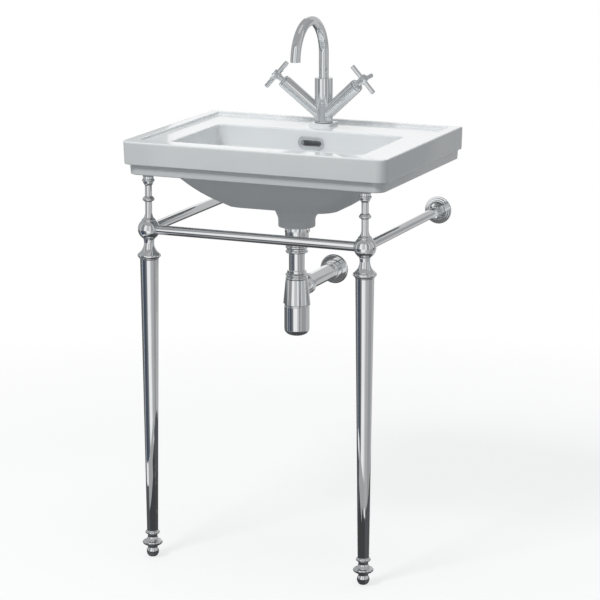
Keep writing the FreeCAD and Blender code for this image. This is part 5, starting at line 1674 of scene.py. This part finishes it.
@dataclass
class Tap:
    """The mixer tap: ring, column with its slanted arms, cross handles and swan-neck spout."""

    tap_y: float = 0.156
    play: float = 0.0001
    ring_bottom: float = 0.855
    ring_radius: float = 0.0192
    ring_bore: float = 0.0155
    column_bottom: float = 0.858
    column_top: float = 0.946
    column_radius: float = 0.0185
    socket_depth: float = 0.030
    collar_radius: float = 0.014
    collar_bottom: float = 0.918
    spout_radius: float = 0.01025
    bend_radius: float = 0.074
    bend_level: float = 0.996
    spout_bottom: float = 0.9123
    mouth_radius: float = 0.0086
    aerator_height: float = 0.008
    aerator_recess: float = 0.0012
    aerator_slot: float = 0.0003
    slot_depth: float = 0.0009
    arm_root: float = 0.866
    arm_radius: float = 0.01375
    arm_start: float = 0.004
    arm_length: float = 0.107
    arm_recess: float = 0.005
    arm_rise: float = 40.85
    arm_sweep: float = 13.6
    valve_radius: float = 0.0105
    bonnet_height: float = 0.0056
    bonnet_lip: float = 0.0009
    stem_radius: float = 0.0058
    stem_lap: float = 0.0047
    hub_radius: float = 0.0078
    hub_level: float = 0.129
    bar_radius: float = 0.0047
    reach: float = 0.0348
    handle_turn: float = 9.0

    def arm_place(self, side: int) -> Matrix:
        """The frame whose Z axis runs up an arm."""
        return (moved(0, self.tap_y, self.arm_root) @ rotated(-side * self.arm_sweep, "Z")
                @ rotated(side * (90 - self.arm_rise), "Y"))

    def build(self, shop: Workshop) -> None:
        """Make the tap's pieces.

        Args:
            shop: The workshop that makes the pieces.
        """
        place = moved(y=self.tap_y)
        ring = tube(self.ring_bore, self.ring_radius, self.ring_bottom, self.column_bottom)
        shop.turned("tap_foot_ring", ring, place, "tap_base_ring", soft=0.0009)
        self.build_column(shop, place)
        collar = tube(self.spout_radius + self.play / 2, self.collar_radius - self.play,
                      self.collar_bottom, self.column_top)
        shop.turned("spout_bearing", collar, place, "spout_collar", sides=64, soft=0.0005)
        self.build_spout(shop)
        for word, side in SIDES:
            self.build_handle(shop, word, side)
        self.build_bonnets(shop)

    def build_column(self, shop: Workshop, place: Matrix) -> None:
        """Make the column and the two arms that grow out of it.

        Args:
            shop: The workshop that makes the pieces.
            place: Where the piece stands, along its Z axis.
        """
        top, radius, length = self.column_top, self.column_radius, self.arm_length
        column = [(0, self.column_bottom), (radius, self.column_bottom), (radius, top),
                  (self.collar_radius, top), (self.collar_radius, top - self.socket_depth),
                  (0, top - self.socket_depth)]
        skin = Skin().turn(column, place, 96, 0.0011)
        floor = length - self.arm_recess - 0.002
        arm = [(0, self.arm_start), (self.arm_radius, self.arm_start), (self.arm_radius, length),
               (self.valve_radius, length), (self.valve_radius, floor), (0, floor)]
        for _, side in SIDES:
            skin.turn(arm, self.arm_place(side), 80, 0.0009)
        shop.piece("tap_column", skin, "tap_body")

    def build_spout(self, shop: Workshop) -> None:
        """Make the swan-neck spout and the aerator in its mouth.

        Args:
            shop: The workshop that makes the pieces.
        """
        path = [(Vector((0, self.tap_y, self.spout_bottom)), 0.0),
                (Vector((0, self.tap_y, self.bend_level)), 0.0)]
        centre = Vector((0, self.tap_y - self.bend_radius, self.bend_level))
        steps = 56
        for k in range(1, steps + 1):
            angle = math.pi * k / steps
            spot = centre + self.bend_radius * Vector((0, math.cos(angle), math.sin(angle)))
            path.append((spot, angle))
        skin = Skin()
        loops = [self.spout_loop(skin, spot, angle, self.spout_radius) for spot, angle in path[:-1]]
        mouth, _ = path[-1]
        recess = self.aerator_height + self.aerator_recess
        lip = ((0.0006, self.spout_radius), (0.0001, self.spout_radius - 0.0005), (0.0, 0.0092),
               (0.0005, self.mouth_radius), (recess, self.mouth_radius))
        for up, radius in lip:
            loops.append(self.spout_loop(skin, mouth + Vector((0, 0, up)), math.pi, radius))
        for one, two in zip(loops, loops[1:]):
            skin.bridge(one, two)
        skin.faces += [tuple(loops[0]), tuple(loops[-1])]
        shop.piece("swan_neck_spout", skin, "spout", body="swivel_spout")
        self.build_aerator(shop, moved(*mouth))

    def spout_loop(self, skin: Skin, spot: Vector, angle: float, radius: float) -> list[int]:
        """Add one section of the spout, square to its path.

        Args:
            skin: The spout's skin.
            spot: The section's centre.
            angle: How far the path has turned there.
            radius: The section's radius.

        Returns:
            The numbers of its points.
        """
        sides, tilt = 48, Matrix.Rotation(angle, 3, "X")
        turns = (2 * math.pi * k / sides for k in range(sides))
        return skin.loop(spot + tilt @ (radius * around(1.0, turn)) for turn in turns)

    def build_aerator(self, shop: Workshop, place: Matrix) -> None:
        """Make the aerator: a rim round a flat strainer with rings of slots.

        Args:
            shop: The workshop that makes the pieces.
            place: Where the spout's mouth is.
        """
        low = self.aerator_recess
        face, slot, top = 2 * low, self.aerator_slot, low + self.aerator_height
        outer, inner = self.mouth_radius - self.play, self.mouth_radius - self.mouth_radius / 4
        outline = [(0, top), (outer, top), (outer, low), (inner, low), (inner, face)]
        for share in (0.8, 0.6, 0.4, 0.2):
            ring = inner * share
            outline += [(ring + slot, face), (ring + slot, face + self.slot_depth),
                        (ring - slot, face + self.slot_depth), (ring - slot, face)]
        outline.append((0, face))
        shop.piece("spout_strainer", Skin().turn(outline, place, 48, 0.0001), "aerator",
                   slot=Slot.PLASTIC, body="swivel_spout")

    def build_handle(self, shop: Workshop, word: str, side: int) -> None:
        """Make a cross handle: stem, hub and four round bars.

        Args:
            shop: The workshop that makes the pieces.
            word: The side's name.
            side: -1 on the left, 1 on the right.
        """
        place = self.arm_place(side)
        level, hub, stem = self.hub_level, self.hub_radius, self.stem_radius
        foot = self.arm_length - self.stem_lap
        skin = Skin().turn([(0, foot), (stem, foot), (stem, level - hub - 0.0004),
                            (hub, level - hub), (hub, level + hub), (0, level + hub)],
                           place, 56, 0.0007)
        for quarter in range(4):
            bar = (place @ moved(z=level) @ rotated(side * self.handle_turn + 90 * quarter, "Z")
                   @ rotated(90, "Y"))
            skin.turn(tube(0, self.bar_radius, hub / 2, self.reach), bar, 40, 0.0007)
        shop.piece(f"cross_handle_{word}", skin, f"handle_{word}", body=f"{word}_handle")

    def build_bonnets(self, shop: Workshop) -> None:
        """Make the valve bonnets, the chamfered caps that close the arms round the stems.

        Args:
            shop: The workshop that makes the pieces.
        """
        low, high = self.arm_length, self.arm_length + self.bonnet_height
        bore, plug = self.stem_radius + 0.0004, self.valve_radius - 0.0004
        cap, lip = self.arm_radius - 0.0003, low + self.bonnet_lip
        outline = [(bore, low - self.arm_recess), (plug, low - self.arm_recess), (plug, lip),
                   (cap, lip), (cap, high - 0.0022), (self.arm_radius - 0.0027, high), (bore, high)]
        skin = Skin()
        for _, side in SIDES:
            skin.turn(outline, self.arm_place(side), 72, 0.0006)
        shop.piece("valve_bonnets", skin, "valves")


# --- CAD nodes that stay --------------------------------------------------------------------------

KEPT_NODES = {
    Slot.BRASS: ("plug_clicker", "clamp_nut", "spindle_left", "spindle_right"),
    Slot.STEEL: ("pinch_screws", "wall_plates", "clamp_plate", "tap_stud"),
    Slot.RUBBER: ("plug_seal", "drain_seals", "tap_base_seal", "clamp_rubber", "post_pads"),
}


# --- studio ---------------------------------------------------------------------------------------

WHITE = (1.0, 1.0, 1.0)


@dataclass
class Studio:
    """The camera, the soft lights, the floor and the cards that the chrome reflects."""

    camera_place: Triple = (2.1552, -5.0576, 1.7683)
    camera_pitch: float = math.pi / 2 - 0.2244
    camera_yaw: float = 0.4006
    lens: float = 167.2
    sensor: float = 36.0
    sky: float = 0.38
    sky_colour: Colour = (0.95, 0.98, 1.0)
    floor_radius: float = 9.0
    floor_level: float = -0.0004
    floor_light: Colour = (0.33, 0.335, 0.34)
    floor_paint: Colour = (0.34, 0.34, 0.34)
    floor_glow: float = 0.7
    shadow_reach: Span = (0.9, 1.9)
    near: float = 0.30
    mid: float = 0.78
    far: float = 3.3
    card_level: float = 0.0008
    screen_top: float = 3.4

    def build(self) -> None:
        """Set the studio up."""
        scene = bpy.context.scene
        scene.view_settings.view_transform = "Standard"
        self.build_camera(scene)
        self.build_world(scene)
        self.build_floor()
        self.build_cards()
        self.build_lamp("key_softbox", (-0.75, -2.55, 3.85), (0.0, 0.0, 0.75), 1.0, 72.0)
        self.build_lamp("top_softbox", (0.0, 0.1, 3.45), (0.0, 0.0, 0.8), 2.0, 20.0)

    def build_camera(self, scene: bpy.types.Scene) -> None:
        """Place the camera at the photograph's angle.

        Args:
            scene: The scene to set up.
        """
        data = bpy.data.cameras.new("photo_camera")
        data.lens = self.lens
        data.sensor_width = self.sensor
        camera = bpy.data.objects.new("photo_camera", data)
        camera.location = self.camera_place
        camera.rotation_euler = (self.camera_pitch, 0.0, self.camera_yaw)
        scene.collection.objects.link(camera)
        scene.camera = camera

    def seen(self, tree: ShaderTree) -> Field:
        """1 where the camera, or a mirror or glass in its view, looks; 0 for the light itself.

        Args:
            tree: The tree that mixes what is seen with the light.

        Returns:
            The factor.
        """
        rays = [tree.add("ShaderNodeLightPath", out=kind)
                for kind in ("Is Camera Ray", "Is Glossy Ray", "Is Transmission Ray")]
        return (rays[0] + rays[1] + rays[2]).at_most(1.0)

    def build_world(self, scene: bpy.types.Scene) -> None:
        """A white world to look at that lights the object more softly.

        Args:
            scene: The scene to set up.
        """
        world = bpy.data.worlds.new("studio_white")
        world.use_nodes = True
        scene.world = world
        tree = ShaderTree(world.node_tree)
        light = tree.light("ShaderNodeBackground", self.sky_colour, self.sky)
        white = tree.light("ShaderNodeBackground", WHITE)
        both = tree.add("ShaderNodeMixShader", None, {0: self.seen(tree), 1: light, 2: white})
        tree.finish(both, "ShaderNodeOutputWorld")

    def build_floor(self) -> None:
        """A floor that looks white, takes the object's shadow and sends little light back up."""
        material, tree = new_material("studio_floor")
        spot = tree.add("ShaderNodeNewGeometry", out="Position")
        flat = tree.add("ShaderNodeVectorMath", {"operation": "MULTIPLY"},
                        {0: spot, 1: (1.0, 1.0, 0.0)})
        away = tree.add("ShaderNodeVectorMath", {"operation": "LENGTH"}, {0: flat}, "Value")
        beyond = tree.stretched(away, *self.shadow_reach)
        dull = tree.add("ShaderNodeBsdfDiffuse", None, {"Color": (*self.floor_light, 1.0)})
        paint = tree.add("ShaderNodeBsdfDiffuse", None, {"Color": (*self.floor_paint, 1.0)})
        glow = tree.light("ShaderNodeEmission", WHITE, self.floor_glow)
        white = tree.light("ShaderNodeEmission", WHITE)
        close = tree.add("ShaderNodeAddShader", None, {0: paint, 1: glow})
        looks = tree.add("ShaderNodeMixShader", None, {0: beyond, 1: close, 2: white})
        shown = tree.add("ShaderNodeMixShader", None, {0: self.seen(tree), 1: dull, 2: looks})
        tree.finish(shown)
        sides = 64
        points = [around(self.floor_radius, 2 * math.pi * k / sides, self.floor_level)
                  for k in range(sides)]
        floor = self.set_out("studio_floor", points, [tuple(range(sides))], material)

    @staticmethod
    def set_out(name: str, points: Sequence[Vector], faces: Sequence[Sequence[int]],
                material: bpy.types.Material) -> bpy.types.Object:
        """Put something of the studio's own in the scene.

        Args:
            name: Its name.
            points: Its mesh's points.
            faces: Its mesh's faces.
            material: What it is made of.

        Returns:
            The new object.
        """
        mesh = bpy.data.meshes.new(name)
        mesh.from_pydata([tuple(p) for p in points], [], faces)
        mesh.materials.append(material)
        thing = bpy.data.objects.new(name, mesh)
        bpy.context.scene.collection.objects.link(thing)
        return thing

    def build_cards(self) -> None:
        """Grey and blue cards, flat or upright, that draw the streaks in the chrome."""
        near, mid, far = self.near, self.mid, self.far
        flat = (
            ("dark_card_centre", 0, 360, 0.01, 0.20, (0.075, 0.078, 0.08)),
            ("dark_card_under", -40, 230, 0.20, near, (0.075, 0.078, 0.08)),
            ("dark_card_near", -40, 230, near, mid, (0.10, 0.105, 0.11)),
            ("dark_card_feet", -130, -75, 0.20, 0.60, (0.06, 0.063, 0.066)),
            ("dark_card_camera", -75, -40, 0.20, 0.72, (0.06, 0.063, 0.066)),
            ("grey_card_feet", -130, -75, 0.60, 0.95, (0.42, 0.425, 0.43)),
            ("grey_card_low", -75, -52, 0.72, 0.95, (0.42, 0.425, 0.43)),
            ("blue_card", -156, -121, 0.95, far, (0.070, 0.088, 0.125)),
            ("dark_card_front", -121, -105, 0.95, far, (0.16, 0.163, 0.167)),
            ("soft_card_front", -105, -98, 0.95, far, (0.42, 0.44, 0.46)),
            ("pale_card_camera", -64, -52, 0.95, far, (0.68, 0.685, 0.69)),
            ("dark_card_back", 86, 122, mid, far, (0.11, 0.113, 0.115)),
            ("grey_card_wall", 64, 86, mid, far, (0.56, 0.565, 0.57)),
            ("pale_card_left", -166, -157, mid, far, (0.30, 0.33, 0.37)),
            ("dark_card_left", 122, 193, mid, far, (0.15, 0.155, 0.155)),
            ("grey_card_camera", -52, -20, mid, far, (0.47, 0.475, 0.48)),
            ("grey_card_right", -20, 24, mid, far, (0.36, 0.365, 0.37)),
            ("grey_card_back", 24, 64, mid, far, (0.50, 0.505, 0.51)),
        )
        for name, start, end, inner, outer, colour in flat:
            level = self.card_level
            self.build_card(name, (start, end), (inner, level), (outer, level), colour)
        upright = (
            ("screen_left", 120, 200, (0.42, 0.43, 0.44)),
            ("screen_front_left", -155, -118, (0.30, 0.31, 0.32)),
            ("screen_front", -92, -62, (0.62, 0.63, 0.64)),
            ("screen_camera", -50, -24, (0.34, 0.35, 0.36)),
            ("screen_right", -20, 20, (0.50, 0.51, 0.52)),
            ("screen_back", 26, 66, (0.38, 0.39, 0.40)),
            ("screen_wall", 66, 103, (0.58, 0.585, 0.59)),
        )
        for name, start, end, colour in upright:
            self.build_card(name, (start, end), (far, 0.0), (far, self.screen_top), colour)
        self.build_card("ceiling_card", (0, 360), (0.9, 4.2), (3.6, 3.6), (0.42, 0.425, 0.43))
        self.build_card("ceiling_middle", (0, 360), (0.02, 4.2), (0.8, 4.2), (0.66, 0.665, 0.67))

    def build_card(self, name: str, bearings: Span, low: Span, high: Span, colour: Colour) -> None:
        """Bend a card round the object, between two rings.

        Args:
            name: The card's name.
            bearings: Where it starts and ends, in degrees round from +X.
            low: The radius and height of its first ring.
            high: The radius and height of its last ring.
            colour: The colour that mirrors see.
        """
        material, tree = new_material(name)
        tree.finish(tree.light("ShaderNodeEmission", colour))
        start, end = bearings
        steps = max(2, round((end - start) / 8))
        corners = []
        for k in range(steps + 1):
            bearing = math.radians(start + (end - start) * k / steps)
            corners += [around(radius, bearing, height) for radius, height in (low, high)]
        faces = [(2 * k, 2 * k + 1, 2 * k + 3, 2 * k + 2) for k in range(steps)]
        card = self.set_out(name, corners, faces, material)
        card.visible_camera = False
        card.visible_diffuse = False
        card.visible_shadow = False

    def build_lamp(self, name: str, spot: Triple, target: Triple, size: float,
                   power: float) -> None:
        """Hang a soft lamp that mirrors don't show.

        Args:
            name: The lamp's name.
            spot: Where it hangs.
            target: What it points at.
            size: The length of its square's side.
            power: Its strength in watts.
        """
        data = bpy.data.lights.new(name, "AREA")
        data.shape = "SQUARE"
        data.size = size
        data.energy = power
        lamp = bpy.data.objects.new(name, data)
        lamp.location = spot
        aim = Vector(target) - Vector(spot)
        lamp.rotation_euler = aim.to_track_quat("-Z", "Y").to_euler()
        lamp.visible_glossy = False
        bpy.context.scene.collection.objects.link(lamp)


# --- the whole sink -------------------------------------------------------------------------------


def main() -> None:
    """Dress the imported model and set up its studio."""
    logging.basicConfig(level=logging.INFO, format="%(name)s: %(message)s")
    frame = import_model()
    shop = Workshop(frame)
    for assembly in (Basin(), OverflowTrim(), WasteFitting(), BottleTrap(), Stand(), Tap()):
        assembly.build(shop)
    for slot, nodes in KEPT_NODES.items():
        for node in nodes:
            shop.keep(node, slot)
    Studio().build()


if __name__ == "__main__":
    main()
